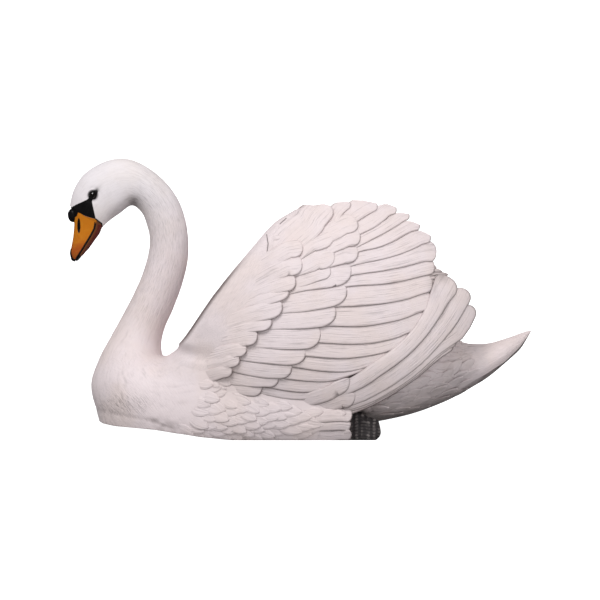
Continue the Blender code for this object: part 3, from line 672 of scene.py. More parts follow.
class Skin:
    """The carved skin, kept for the pieces that lie on it."""

    tree = kd = u = angle = None
    core_places = core_depths = None


def eye_depth():
    """Half width of the head's skin beside the eye."""
    rings = skin_points(np.linspace(0, 4, 60), 96).reshape(-1, 3)
    rings = rings[rings[:, 1] < 0]
    far = np.hypot(rings[:, 0] - EYE_CENTRE[0], rings[:, 2] - EYE_CENTRE[1])
    return -rings[np.argmin(far), 1]


def cast_shape(rings, u, settings):
    """The body joined to the wings and shoulders, with soft joints and a flat underside."""
    body, (core, places, depths) = loft("skin", rings), wing_core()
    Skin.core_places, Skin.core_depths = kd_of(np.c_[places, np.zeros(len(places))]), depths
    wings = [loft("core_left", core), loft("core_right", mirror_rings(core))]
    body_tree, points, normals = tree_of(body), points_of(body), normals_of(body)
    low = np.repeat(u > JOINT_START, SKIN_AROUND)
    for wing in wings:
        points[low] = fillet(points[low], normals[low], tree_of(wing), settings.fillet)
    for wing in wings:
        move_points(wing, fillet(points_of(wing), normals_of(wing), body_tree, settings.fillet))
    move_points(body, points)
    shoulders = [ball("shoulder", SHOULDER_CENTRE, SHOULDER_RADII, side * SHOULDER_PLACE, 120, 80)
                 for side in (-1, 1)]
    mesh = boolean(body, [*wings, *shoulders], "UNION")

    points, edges = points_of(mesh), edges_of(mesh)
    low = (points[:, 2] < 0.30) & (points[:, 0] > -0.30)
    near_wing, near_body, near_shoulder = (distances(group, points, low)
                                           for group in (wings, [body], shoulders))
    wide = np.hypot((points[:, 0] / MM - SEAM_CENTRE[0]) / SEAM_REACH[0],
                    (points[:, 2] / MM - SEAM_CENTRE[1]) / SEAM_REACH[1])
    limit = 23 + 50 * ease(wide, 0.2, 1.3) + 60 * (points[:, 0] < -0.275)
    seam = np.minimum(np.maximum(near_wing, near_body) / MM, limit)
    crease = np.maximum(near_wing, near_shoulder) / MM
    points = relax(points, edges, 1 - ease(seam, *SEAM_RANGE), settings.smoothing)
    points = relax(points, edges, 1 - ease(crease, *CREASE_RANGE), 2 * settings.smoothing, (1,))
    deepest = (RECESS_HALF + 60 * ease(points[:, 2] / MM, 46, RECESS_TOP)) * MM
    behind = (points[:, 0] > RECESS_FRONT * MM) & (points[:, 2] < RECESS_TOP * MM)
    points[:, 1] = np.where(behind, np.clip(points[:, 1], -deepest, deepest), points[:, 1])
    move_points(mesh, points)
    under = [*KEEL, (500, -80), (-440, -80)]
    prism = loft("under", [[(x, y, z) for x, z in under] for y in (-260, 260)])
    cut = boolean(mesh, [prism], "DIFFERENCE")
    for old in (body, *wings, *shoulders, mesh, prism):
        bpy.data.meshes.remove(old)
    return cut


def skin_facts(mesh, rings, u):
    """Where each point lies on the skin: its table place, its turn and the way of its tool marks."""
    tree = kd_of(rings.reshape(-1, 3) * MM)
    points, normals = points_of(mesh), normals_of(mesh)
    found = [tree.find(p) for p in points]
    match, far = np.array([index for _, index, _ in found]), np.array([gap for _, _, gap in found])
    at = SimpleNamespace(points=points, normals=normals, x=points[:, 0] / MM, z=points[:, 2] / MM)
    at.u = np.repeat(u, SKIN_AROUND)[match]
    at.angle = np.tile(np.arange(SKIN_AROUND) / SKIN_AROUND, len(u))[match]
    at.on_wing = ease(far / MM, 4, 14) * (at.x > -290)
    way = skin_ways(u, SKIN_AROUND)[match]
    way = way * (1 - at.on_wing)[:, None] + np.array(ARM_WAY) * at.on_wing[:, None]
    way -= normals * np.sum(way * normals, axis=1)[:, None]
    at.way = way / np.maximum(np.linalg.norm(way, axis=1, keepdims=True), 1e-6)
    return at


def carve_skin(mesh, at):
    """Tool marks, the rim under the breast, the eye's socket and the vanes of the tail."""
    x, z, place = at.x, at.z, at.points / MM
    at.fine, broad, bold = (strokes(place, at.way, *tool) for tool in TOOLS)
    head = 1 - ease(at.u, 2.5, 7.5)
    neck = ease(at.u, 4, 8) * (1 - ease(at.u, 13, 15.5)) * (1 - at.on_wing)
    at.breast = ease(at.u, 12.5, 15.5) * (1 - ease(at.u, 19, 21)) * (1 - at.on_wing)
    carve = 0.10 * head * at.fine
    carve += neck * (0.26 * at.fine + 0.10 * broad)
    carve += at.breast * (0.18 * at.fine + 0.30 * broad + 0.12 * bold)
    carve += at.on_wing * (0.22 * at.fine + 0.32 * broad)
    worked = np.clip(0.25 * head + 0.5 * neck + at.breast + 0.55 * at.on_wing, 0, 1)
    at.wash = np.clip(-(0.5 * at.fine + 0.5 * broad) - 0.15, 0, 1) * 0.45 * worked

    at.groove = line_distance(x, z, RIM_LINE)
    at.broken = 0.55 + 0.45 * noise(place / 14, 17)
    carve -= 1.5 * bell(at.groove, 0, 2.8) * (x < -240) * at.broken
    carve += 0.7 * (x < -236) * ease(level_at(RIM_LINE, x) - z, 2, 6)
    eye_far = np.hypot(x - EYE_CENTRE[0], z - EYE_CENTRE[1])
    carve += 1.5 * bell(eye_far, 8.2, 1.5) - 0.9 * bell(eye_far, 13.5, 3.5)
    ridge, sheet = level_at(TAIL_RIDGE, x), level_at(TAIL_SHEET, x)
    at.across = np.clip((ridge - z) / np.maximum(ridge - sheet, 4), 0, 1)
    on_tail = ease(x, 322, 345) * (at.u > TAIL_START)
    carve += on_tail * (1.6 * ease(z - sheet, -0.8, 1.2) - 0.8)
    vane = at.across * 4.2 + 0.1 * np.sin(x / 30)
    saw = 0.5 - (vane - np.floor(vane))
    carve += on_tail * (z > sheet) * ease(at.across, 0.25, 0.5) * 0.5 * saw * ease(x, 340, 375)
    carve *= 1 - 0.6 * ease(x, 440, 450)
    at.points = pushed(at.points, at.normals, carve)
    at.points[:, 2] = np.maximum(at.points[:, 2], 0.0)
    move_points(mesh, at.points)


def store_flow(mesh, at, rings, u):
    """Space and strength of the fine painted lines, which run along the neck, the arm and the tail."""
    centres = rings.mean(axis=1)
    run = np.concatenate([[0], np.cumsum(np.linalg.norm(np.diff(centres, axis=0), axis=1))])
    turn = 2 * np.pi * at.angle
    px, py, pz = (at.points / MM).T
    flow = np.stack([37 * np.cos(turn), 37 * np.sin(turn), np.interp(at.u, u, run)], 1)
    gain = (0.25 + 0.75 * ease(at.u, 3.5, 7)) * (1 - ease(at.u, 12.5, 14.4))
    comb = np.stack([px * 0.78 + pz * 0.62, py * 0.12, px * 0.62 - pz * 0.78], 1)
    arm = np.stack([px * 0.78 - pz * 0.62, py, px * 0.62 + pz * 0.78], 1)
    tail = np.stack([at.across * 60, np.sign(py) * 20, px], 1)
    combed = spot(at.x, at.z, (-345, 68), (46, 20)) * (at.x > -402)
    for part, lines, strength in ((at.u > COMB_START, comb, 2.2 * combed + 0.4 * at.breast),
                                  (at.on_wing > 0.5, arm, 0.6 * ease(at.on_wing, 0.5, 0.9)),
                                  (at.x > 318, tail, 0.7 * ease(at.x, 322, 350))):
        flow[part], gain[part] = lines[part], strength[part]
    set_numbers(mesh, "flow", flow)
    set_numbers(mesh, "flow_gain", gain)


def store_paint(mesh, at):
    """Shares of paint and of painted shade, and distances from painted borders, that the skin's material
    reads.
    """
    x, z, place = at.x, at.z, at.points / MM
    # Painted shadow in the groove under the breast's rim, with a patch of it at the rim's back end.
    rim = bell(at.groove, 0, 3.4) * (x < -236) * (0.15 + 0.5 * at.broken) * 0.7
    rim_end_shade = spot(x, z + 0.25 * (x + 262), (-262, 30), (34, 13))
    rim += rim_end_shade * np.clip(0.25 + 0.6 * noise(place / 7, 18), 0, 1) * 0.8
    # Painted shade in the recess over the feet, in the throat's hollow and under the chin.
    recess = 0.95 * ease(x, 94.5, 96.5) * (1 - ease(z, 60, 72)) * (1 - ease(x, 118, 140))
    throat = 0.5 * spot(x, z, (-323, 464), (22, 16)) + spot(x, z, (-325, 468), (10, 9))
    throat *= np.clip(0.8 + 0.5 * at.fine, 0, 1.2)
    chin = ease(at.u, 0.5, 2.5) * (1 - ease(at.u, 5.5, 7.5)) * ease(-np.cos(2 * np.pi * at.angle), 0.45, 1)
    tone = np.maximum(mottled_shade_tone(x, z, place), recess) + 0.50 * throat + 0.36 * chin
    # Painted shade on the wing's front border, only where the surface faces out.
    front = wing_edge_shade(x, z) * ease(at.normals[:, 1] * np.sign(place[:, 1]), 0.0, 0.25)
    for label, values in (("wash", np.clip(at.wash * 0.8 + rim, 0, 1)), ("tone", np.clip(tone, 0, 1)),
                          ("edge_shade", front * at.on_wing), ("lores", signed_distance(x, z, LORES)),
                          ("orange", signed_distance(x, z, orange_outline())),
                          ("bill_line", line_distance(x, z, ORANGE_BACK)), ("mouth", mouth_depth(x, z)),
                          ("eye_shade", eye_shade(x, z)), ("headness", 1 - ease(at.u, 5.5, 11))):
        set_numbers(mesh, label, values)


def build_skin(settings):
    u = skin_places()
    places, depths = zip(*HEAD_DEPTH, (17, settings.coat_depth), (33, settings.coat_depth))
    depth = np.interp(u, places, depths)
    rings = np.concatenate([skin_points([place], SKIN_AROUND, -sink) for place, sink in zip(u, depth)])
    mesh = cast_shape(rings, u, settings)
    at = skin_facts(mesh, rings, u)
    carve_skin(mesh, at)
    store_flow(mesh, at, rings, u)
    store_paint(mesh, at)
    Skin.tree, Skin.kd, Skin.u, Skin.angle = tree_of(mesh), kd_of(at.points), at.u, at.angle
    return new_object("swan_skin", mesh)


def mottled_shade_tone(x, z, place):
    """The painted shade under the tail, with its blotches."""
    return undertail_shade(x, z) * (1 + 0.17 * noise(place / 8, 19))


def undertail_shade(x, z):
    """Grey brown painted shade under the tail, darkest at its lower edge, and the tail's pale upper side."""
    rise = z - level_at(UNDER_LINE, x)
    below = 0.10 + 0.26 * (1 - ease(rise, 22, 78)) + 0.46 * (1 - ease(rise, -2, 24))
    below = (below + 0.12 * (1 - ease(x, 115, 180))) * ease(x, 98, 104)
    sheet = ease(z - level_at(TAIL_SHEET, x), -1.0, 1.0) * ease(x - 0.67 * (z - 115), 302, 338)
    pale = 0.03 + 0.16 * (1 - ease(x, 325, 388))
    return below * (1 - sheet) + pale * sheet


def wing_edge_shade(x, z):
    """Painted brown shade on the front border of the wing, where it rounds away from the light, between the
    neck and the wrist.
    """
    far = line_distance(x, z, [tuple(p) for p in curve_at(ARM_EDGE, np.linspace(0, 1, 40))])
    return (1 - ease(far, 1, 9)) * ease(z, 165, 205) * (1 - ease(z, 300, 372))


def orange_outline():
    return ((-433, 443.6), (-427, 441.3), (-419.3, 437), (-408.7, 433.5), *ORANGE_BACK, (-400, 340),
            (-460, 340), (-452, 425), (-435, 437))


def mouth_depth(x, z):
    """How far a point of the bill lies below the mouth line, and less than nothing above it."""
    return -signed_distance(x, z, (*MOUTH_LINE, (-320, 340), (-320, 436)))


def eye_shade(x, z):
    """Soft dark paint round the eye, trailing up and back from it."""
    back = np.array((0.64, 0.77))
    px, pz = x - EYE_CENTRE[0], z - EYE_CENTRE[1]
    along, across = px * back[0] + pz * back[1], -px * back[1] + pz * back[0]
    ring = 1 - ease(np.hypot(px, pz), 8.2, 12.0)
    trail = bell(across, 0, 4.2) * ease(along, 0, 7)
    trail *= 0.95 * (1 - ease(along, 10, 19)) + 0.16 * (1 - ease(along, 18, 36))
    return np.clip(ring + trail, 0, 1)


# ---------------------------------------------------------------- feathers

def up_widths(edge, side, above, given):
    """Width at each edge point that reaches past the lower edge of the feather above."""
    if isinstance(given, (int, float)) and given:
        return np.full(len(edge), float(given))
    extra = FEATHER_OVERLAP
    if given:
        above, extra = even_curve(given, 60)[0], 0.0
    widths = np.full(len(edge), np.nan)
    a, b = above[:-1], above[1:]
    for k, (point, way) in enumerate(zip(edge, side)):
        span = b - a
        cross = way[0] * span[:, 1] - way[1] * span[:, 0]
        cross = np.where(np.abs(cross) < 1e-9, 1e-9, cross)
        gap = a - point
        t = (gap[:, 0] * span[:, 1] - gap[:, 1] * span[:, 0]) / cross
        s = (gap[:, 0] * way[1] - gap[:, 1] * way[0]) / cross
        hits = t[(s >= 0) & (s <= 1) & (t > 2)]
        if len(hits):
            widths[k] = hits.min() + extra
    known = ~np.isnan(widths)
    if not known.any():
        return np.full(len(edge), 30.0)
    widths = np.interp(np.arange(len(edge)), np.flatnonzero(known), widths[known])
    widths = np.convolve(np.pad(widths, 4, mode="edge"), np.ones(9) / 9, mode="valid")
    return np.clip(widths, NARROWEST, WIDEST)


def feather(row, above, shape, surface, number, sink=None):
    """Rings of one feather with its wash and painted shade, and its own length and width in each point."""
    points, tip, share, turn_low, turn_up = row[:5]
    edge, _ = even_curve(points, 48)
    run = np.gradient(edge, axis=0)
    run /= np.linalg.norm(run, axis=1, keepdims=True)
    side = np.stack([-run[:, 1], run[:, 0]], 1)
    widths = up_widths(edge, side, above, row[5] if len(row) > 5 else 0)
    if share < 0.4:
        widths = widths - 3 * ease(np.linspace(0, 1, 48), 0.75, 1)
    middle = edge + side * (widths * share)[:, None]
    picks = np.r_[0:44:6, 45]
    axis, length = even_curve(np.concatenate([middle[picks], [tip]]), 200)
    way = np.linspace(0, length, 200)
    turn = max(turn_low, turn_up)
    phi = np.linspace(0, math.pi / 2, TIP_STEPS + 1)[1:]
    places = np.concatenate([np.linspace(0, length - turn, SIDE_STEPS), length - turn * (1 - np.sin(phi))])
    centre = np.stack([np.interp(places, way, axis[:, k]) for k in (0, 1)], 1)
    ahead = np.stack([np.interp(np.minimum(places + 2, length), way, axis[:, k]) for k in (0, 1)], 1)
    behind = np.stack([np.interp(np.maximum(places - 2, 0), way, axis[:, k]) for k in (0, 1)], 1)
    run = (ahead - behind) / np.linalg.norm(ahead - behind, axis=1, keepdims=True)
    side = np.stack([-run[:, 1], run[:, 0]], 1)
    width = np.interp(places, np.linspace(0, length, 48), widths)

    def rounded(turning, power):
        q = np.clip((places - (length - turning)) / turning, 0, 0.9995)
        return q, (1 - q**power) ** (1 / power)

    wander = 0.55 * noise(np.stack([places / 26, np.full(len(places), number * 3.7), places * 0], 1), 5)
    q_low, g_low = rounded(turn_low, TIP_POWER)
    q_up, g_up = rounded(turn_up, POINTED + (TIP_POWER - POINTED) * float(ease(share, 0.3, 0.5)))
    full_low, full_up = width * share + wander, width * (1 - share)
    top = [(-c, q_low, g_low, full_low) for c in TOP_SHARES] + [(0.0, q_low, g_low, full_low)]
    top += [(c, q_up, g_up, full_up) for c in TOP_SHARES[::-1]]
    under = [(c, q_up, g_up, full_up) for c in LOW_SHARES] + [(0.0, q_low, g_low, full_low)]
    under += [(-c, q_low, g_low, full_low) for c in LOW_SHARES[::-1]]
    base = ROOT_HEIGHT + (shape["height"] - ROOT_HEIGHT) * ease(places / length, -0.05, shape["rise"])
    ring, wash, lines = [], [], []
    for row_number, (c, q, g, full) in enumerate(top + under):
        on_top = row_number < len(top)
        off = c * g * full
        x, z = (centre + side * off[:, None]).T
        near = (q**TIP_POWER + (abs(c) * g) ** TIP_POWER) ** (1 / TIP_POWER)
        rim = (1 - near) * full
        bend = np.clip(rim / 2.6, 0, 1)
        bend = 1 - np.sqrt(np.clip(1 - (1 - bend) ** 2, 0, 1))
        tilt = -shape["lift"] * (off / (width / 2)) - shape["lift"] * (2 * share - 1) * 0.5
        height = base + tilt + shape["crown"] * (1 - near**2)
        if on_top:
            height = height - shape["drop"] * bend
        else:
            height = base + tilt - shape["thick"] + (shape["thick"] - shape["drop"]) * bend
        if sink is None:
            y = -(surface(x, z) + height)
        else:
            y = -(surface(x, z) - sink(x, z) - height)
        ring.append(np.stack([x, y, z], 1))
        # Dark wash on the rounded edges with painted shade: darker and wider low on the wing, stronger at
        # each feather's lower edge and under its tip, fainter near the arm.
        deep = 0.60 + 0.40 * (1 - ease(z, 120, 430))
        deep *= (0.4 + 0.6 * ease(line_distance(x, z, ARM_EDGE), 55, 120)) * (1.0 if c <= 0 else 0.45)
        soft = 2.7 + 1.1 * (1 - ease(z, 60, 200))
        wash.append(deep * np.clip(1.08 - rim / soft, 0, 1) if on_top
                    else 0.6 * deep * np.clip(1 - rim / 3, 0, 1))
        lines.append(np.stack([off, places, np.full(len(places), number * 7.3)], 1))
    return np.stack(ring, 1), np.stack(wash, 1), np.stack(lines, 1)


def outline_of(row):
    """Lower edge and tip of a feather, for the width of the one below."""
    edge, _ = even_curve(row[0], 40)
    return np.concatenate([edge, [row[1]]])


def tier(rows, shape, surface, first, sink=None):
    """All feathers of a row, each one reaching under the one above it."""
    made, above = [], None
    for k, row in enumerate(rows):
        made.append(feather(row, above, shape, surface, first + k, sink))
        above = outline_of(row)
    return made


def feather_mesh(name, feathers, mirror=False):
    """One mesh of many feathers, with a bake map that gives each its own patch."""
    cells = math.ceil(math.sqrt(len(feathers)))
    verts, faces, wash, lines, maps = [], [], [], [], []
    first = 0
    for number, (rings, paint, along) in enumerate(feathers):
        rows, around = rings.shape[:2]
        quads, corners = grid_faces(rows, around, first)
        flat = rings.reshape(-1, 3)
        if mirror:
            flat = flat * (1, -1, 1)
        corner = np.array((number % cells, number // cells)) / cells
        spread = corners / (around, rows - 1) * 0.96 / cells + corner + 0.02 / cells
        last = first + (rows - 1) * around
        ends = [list(range(first, first + around)), list(range(last, last + around))]
        faces += quads.tolist() + ends
        maps += [spread.reshape(-1, 2), np.tile(corner + 0.01 / cells, (2 * around, 1))]
        verts.append(flat)
        wash.append(paint.ravel())
        lines.append(along.reshape(-1, 3))
        first += rows * around
    mesh = bpy.data.meshes.new(name)
    mesh.from_pydata((np.concatenate(verts) * MM).tolist(), [], faces)
    set_numbers(mesh, "wash", np.concatenate(wash))
    set_numbers(mesh, "vane", np.concatenate(lines))
    bake = mesh.uv_layers.new(name="OFBake")
    bake.data.foreach_set("uv", np.concatenate(maps).astype(np.float32).ravel())
    outward(mesh)
    points = points_of(mesh)
    over = np.maximum(points[:, 2] - level_at(TOP_LINE, points[:, 0] / MM) * MM, 0)
    points[:, 2] = np.maximum(points[:, 2] - 0.92 * over, 0.0)
    move_points(mesh, points)
    return mesh, points[:, 0] / MM, points[:, 2] / MM


def core_depth(x, z):
    """Depth of the wing's inner face under its outer face."""
    found = []
    for px, pz in zip(np.ravel(x), np.ravel(z)):
        near = Skin.core_places.find_n((px, pz, 0), 6)
        weights = np.array([1 / (far + 1.0) for _, _, far in near])
        found.append(weights @ Skin.core_depths[[index for _, index, _ in near]] / weights.sum())
    return np.array(found).reshape(np.shape(x))


def carved_y(x, z):
    """Distance of the carved skin from the middle plane, seen from the left."""
    found = []
    for px, pz in zip(np.ravel(x), np.ravel(z)):
        start = Vector((px * MM, -0.5, max(pz, 1.0) * MM))
        hit = Skin.tree.ray_cast(start, Vector((0, 1, 0)))[0]
        if hit is None or hit.y > -0.02:
            hit = Skin.tree.find_nearest(Vector((px * MM, -0.2, pz * MM)))[0]
        found.append(-hit.y / MM)
    return np.array(found).reshape(np.shape(x))


def folded_y(x, z):
    """The wing's outer face, drawn in with the rounded arm at the front border."""
    face = shell_y(x, z)
    share = 1 - ease(line_distance(x, z, ARM_EDGE), 45, 85)
    low, near = face.copy(), share > 0
    low[near] = carved_y(x[near], z[near]) + PANEL_SINK
    return face - share * np.maximum(face - low, 0)


def wrist_y(x, z):
    """The carved skin at the wrist, with little of its turn round the border."""
    return np.maximum(carved_y(x, z), shell_y(x, z) - 11)


def lining_rows(count, start, end, turn):
    """Feathers of the wing's inner face, fanned out from the arm to the rim."""
    rows = []
    for k in range(count):
        t = 0.905 - 0.87 * k / (count - 1)
        front, back = curve_at(ARM_EDGE, t), curve_at(PANEL_EDGE, t)
        bow = np.array((0.0, -0.05 * np.linalg.norm(back - front)))
        line = [tuple(front + (back - front) * q + bow * math.sin(math.pi * q))
                for q in np.linspace(start, end, 7)]
        reach = (back - front) / np.linalg.norm(back - front)
        tip = np.array(line[-1]) + reach * turn * 0.7 + np.array((-reach[1], reach[0])) * turn * 0.55
        rows.append((line, tuple(tip), 0.5, turn * 1.3, turn, *((24,) if k == 0 else ())))
    return rows


def wing_feathers():
    """All feathers of the left wing; each tier's first number sets its wander and its lines."""
    made = []
    for k, row in enumerate(PRIMARIES):
        made += tier([row], PRIMARY_SHAPE, lambda x, z, up=4.6 - 1.1 * k: shell_y(x, z) + up, 1 + k)
    made += tier(SECONDARIES, SECONDARY_SHAPE, shell_y, 10)
    made += tier(GREATER_COVERTS, GREATER_SHAPE, folded_y, 30)
    made += tier(MEDIAN_COVERTS[:4], MEDIAN_SHAPE, folded_y, 50)
    made += tier(MEDIAN_COVERTS[4:], dict(MEDIAN_SHAPE, height=5.4), folded_y, 54)
    made += tier(PLUMES, PLUME_SHAPE, shell_y, 70)
    made += tier(FLANK_ENDS, FLANK_SHAPE, lambda x, z: carved_y(np.minimum(x, 90), z), 74)
    for k, row in enumerate(WRIST_LEAVES):
        made += tier([row], dict(LEAF_SHAPE, height=LEAF_SHAPE["height"] - 0.2 * k), wrist_y, 80 + k)
    for k, row in enumerate(TUFT):
        made += tier([row], TUFT_SHAPE, shell_y, 90 + k)
    for (count, start, end, turn), height, first in LININGS:
        shape = dict(LINING_SHAPE, height=height)
        made += tier(lining_rows(count, start, end, turn), shape, shell_y, first, core_depth)
    return made


def build_wings(materials):
    feathers = wing_feathers()
    for label, mirror in (("left", False), ("right", True)):
        mesh, x, z = feather_mesh(f"wing_{label}_feathers", feathers, mirror)
        # Painted shade on the tucked tuft, on the secondaries' ends beside the first primary, and lower on
        # the wing.
        tone = 0.42 * spot(x, z, *TUFT_SHADE) + 0.22 * spot(x, z, *TUCKED_ENDS_SHADE) * (x < 268)
        set_numbers(mesh, "tone", np.clip(0.10 * (1 - ease(z, 40, 150)) + tone, 0, 1))
        dress(new_object(f"wing_{label}_feathers", mesh), materials["feather"], "body", f"wing_{label}")


# ---------------------------------------------------------------- bill, eyes and feet

def bill_rings(around, stations):
    """Rings of the whole bill from its root to its rounded tip."""
    numbers = curve_at([(*a, *b, half) for a, b, half in BILL_RINGS], np.linspace(0, 1, stations))
    last, tip = numbers[-1], np.array(BILL_TIP, float)
    centre, extra = (last[0:2] + last[2:4]) / 2, []
    for share in np.sin(np.linspace(0, math.pi / 2, 16)[1:-1]):
        shrink = math.sqrt(1 - share**2)
        middle = centre + (tip - centre) * share
        extra.append([*(middle + (last[0:2] - centre) * shrink), *(middle + (last[2:4] - centre) * shrink),
                      last[4] * shrink])
    return section_rings(np.concatenate([numbers, extra]), around, BILL_SQUARE, BILL_FULL)


def build_bill(materials):
    mesh = loft("swan_bill", bill_rings(BILL_AROUND, 130))
    points, normals = points_of(mesh), normals_of(mesh)
    x, z = points[:, 0] / MM, points[:, 2] / MM
    mouth, line = mouth_depth(x, z), line_distance(x, z, MOUTH_LINE)
    top, low = np.array(NOSTRIL_TOP), np.array(NOSTRIL_LOW)
    middle, half = (top + low) / 2, np.linalg.norm(top - low) / 2
    slot = np.hypot((x - middle[0]) / NOSTRIL_WIDTH, (z - middle[1]) / half)
    nail = line_distance(x, z, NAIL_LINE) / NAIL_WIDTH
    carve = -1.4 * bell(line, 0, 0.9) - 0.9 * ease(mouth, -0.4, 0.8)
    carve += 0.45 * bell(line, 2.2, 1.2) * (mouth < 0)
    carve += -3.8 * (1 - ease(slot, 0.6, 1.05)) + 0.4 * bell(slot, 1.35, 0.22)
    carve += 0.5 * (1 - ease(nail, 0.75, 1.0)) - 0.3 * bell(nail, 1.06, 0.1)
    carve += 0.12 * noise(points / MM / 5, 31) + 0.05 * noise(points / MM / 1.6, 32)
    carve[x - 0.5 * (z - 414) > -392] *= 0.5
    moved = pushed(points, normals, carve)
    moved[:BILL_AROUND] = points[:BILL_AROUND] * (1, 0.97, 1) + BILL_ROOT_SHIFT
    move_points(mesh, moved)
    lores = np.where(z > 448, -3.0, signed_distance(x, z, LORES))
    for label, values in (("mouth", mouth), ("mouth_line", line), ("slot", slot), ("nail", nail),
                          ("lores", lores), ("bill_line", line_distance(x, z, ORANGE_BACK))):
        set_numbers(mesh, label, values)
    return dress(new_object("swan_bill", mesh), materials["bill"], "bill", "bill_upper", "bill_lower")


def ball(name, centre, radii, y, columns=56, rows=36):
    shape = bmesh.new()
    bmesh.ops.create_uvsphere(shape, u_segments=columns, v_segments=rows, radius=1.0)
    for vert in shape.verts:
        vert.co = Vector(((centre[0] + vert.co.x * radii[0]) * MM, (y + vert.co.y * radii[1]) * MM,
                          (centre[1] + vert.co.z * radii[2]) * MM))
    mesh = bpy.data.meshes.new(name)
    shape.to_mesh(mesh)
    shape.free()
    return mesh


def build_head_details(materials):
    mesh = ball("swan_knob", KNOB_CENTRE, KNOB_RADII, 0.0)
    roughen(mesh, (0.35, 6, 41), (0.12, 2, 42))
    dress(new_object("swan_knob", mesh), materials["black"], "black", "bill_knob")
    depth = eye_depth() - EYE_SINK
    for side, label in ((-1, "left"), (1, "right")):
        mesh = ball(f"swan_eye_{label}", EYE_CENTRE, (EYE_RADIUS,) * 3, side * depth)
        dress(new_object(f"swan_eye_{label}", mesh), materials["eye"], "black", f"eye_{label}")


def foot_rings(around=200, levels=70):
    """Rings of one webbed foot, folded flat under the flank, with ridged toes."""
    angle = 2 * np.pi * np.arange(around) / around
    c, s = np.cos(angle), np.sin(angle)
    rings, ridge = [], []
    for z in np.linspace(0, FOOT_TOP, levels):
        back = level_at(FOOT_BACK, z)
        middle, half = (FOOT_FRONT + back) / 2, (back - FOOT_FRONT) / 2
        x = middle + half * np.sign(c) * np.abs(c) ** FOOT_SQUARE
        y = FOOT_HALF * level_at(FOOT_DEPTH, z) * np.sign(s) * np.abs(s) ** FOOT_SQUARE
        toe = np.abs(np.sin(np.pi * 5.5 * (x - FOOT_FRONT + 2) / 63))
        step = z / 6.3 + 0.25 * np.sin(x / 7.0)
        raised = toe**0.7 - 0.45 * bell(step - np.round(step), 0, 0.13)
        y = y + np.sign(y) * 1.8 * (raised - 1) * np.minimum(np.abs(s) * 2, 1)
        rings.append(np.stack([x, -FOOT_MIDDLE - y, np.full(around, z)], 1))
        ridge.append(np.clip(raised, 0, 1))
    return np.array(rings), np.array(ridge)


def build_feet(materials):
    rings, ridge = foot_rings()
    for label, mirror in (("left", False), ("right", True)):
        mesh = loft(f"swan_foot_{label}", mirror_rings(rings) if mirror else rings)
        roughen(mesh, (0.5, 7, 51), (0.25, 2.2, 52))
        set_numbers(mesh, "ridge", (ridge[:, ::-1] if mirror else ridge).ravel())
        dress(new_object(f"swan_foot_{label}", mesh), materials["foot"], "foot", f"foot_{label}")


# ---------------------------------------------------------------- nodes

def add_sockets(tree, inputs, outputs):
    """Names what a node group takes and gives, and returns the identifiers of what it takes."""
    made = {}
    for label, kind, value in inputs:
        made[label] = tree.interface.new_socket(name=label, in_out="INPUT", socket_type="NodeSocket" + kind)
        if value is not None:
            made[label].default_value = value
    for label, kind in outputs:
        tree.interface.new_socket(name=label, in_out="OUTPUT", socket_type="NodeSocket" + kind)
    return {label: socket.identifier for label, socket in made.items()}


class Net:
    """Makes and wires the nodes of one tree."""

    def __init__(self, tree):
        self.tree, self.link = tree, tree.links.new

    def new(self, kind, inputs=(), **values):
        """A node with its values set first, and then its inputs, by name or number."""
        node = self.tree.nodes.new(kind)
        for name, value in values.items():
            setattr(node, name, value)
        for name, value in dict(inputs).items():
            self.feed(node.inputs[name], value)
        return node

    def feed(self, socket, value):
        """Links a socket to another, or gives it a number, a word, a vector or a colour."""
        if isinstance(value, bpy.types.NodeSocket):
            self.link(value, socket)
        elif value is not None:
            socket.default_value = (*value, 1.0) if socket.type == "RGBA" else value

    def math(self, operation, a, b=None, clamp=False):
        return self.new("ShaderNodeMath", {0: a, 1: b}, operation=operation, use_clamp=clamp).outputs[0]

    def times(self, a, b, clamp=False):
        return self.math("MULTIPLY", a, b, clamp)

    def plus(self, a, b):
        return self.math("ADD", a, b)

    def most(self, *values):
        return functools.reduce(lambda a, b: self.math("MAXIMUM", a, b), values)

    def ramp(self, value, low, high, start=0.0, end=1.0, smooth=True):
        """A number that goes from start to end as the value goes from low to high."""
        inputs = {"Value": value, "From Min": low, "From Max": high, "To Min": start, "To Max": end}
        kind = "SMOOTHSTEP" if smooth else "LINEAR"
        return self.new("ShaderNodeMapRange", inputs, interpolation_type=kind).outputs["Result"]

    def mix(self, share, a, b, blend="MIX"):
        values = dict(data_type="RGBA", blend_type=blend, clamp_factor=True)
        return self.new("ShaderNodeMix", {0: share, 6: a, 7: b}, **values).outputs[2]

    def noise(self, vector, scale, detail, rough):
        inputs = {"Vector": vector, "Scale": scale, "Detail": detail, "Roughness": rough}
        return self.new("ShaderNodeTexNoise", inputs).outputs["Fac"]

    def scaled(self, vector, scale):
        return self.new("ShaderNodeMapping", {"Vector": vector, "Scale": scale}).outputs[0]

    def place(self):
        return self.new("ShaderNodeTexCoord").outputs["Object"]

    def read(self, label, output="Fac"):
        """A stored number, or with the output "Vector" a stored vector."""
        values = dict(attribute_type="GEOMETRY", attribute_name=label)
        return self.new("ShaderNodeAttribute", **values).outputs[output]

    def bump(self, shader, height, strength, distance):
        node = self.new("ShaderNodeBump", {"Height": height, "Strength": strength, "Distance": distance})
        self.link(node.outputs["Normal"], shader.inputs["Normal"])


# ---------------------------------------------------------------- small feathers

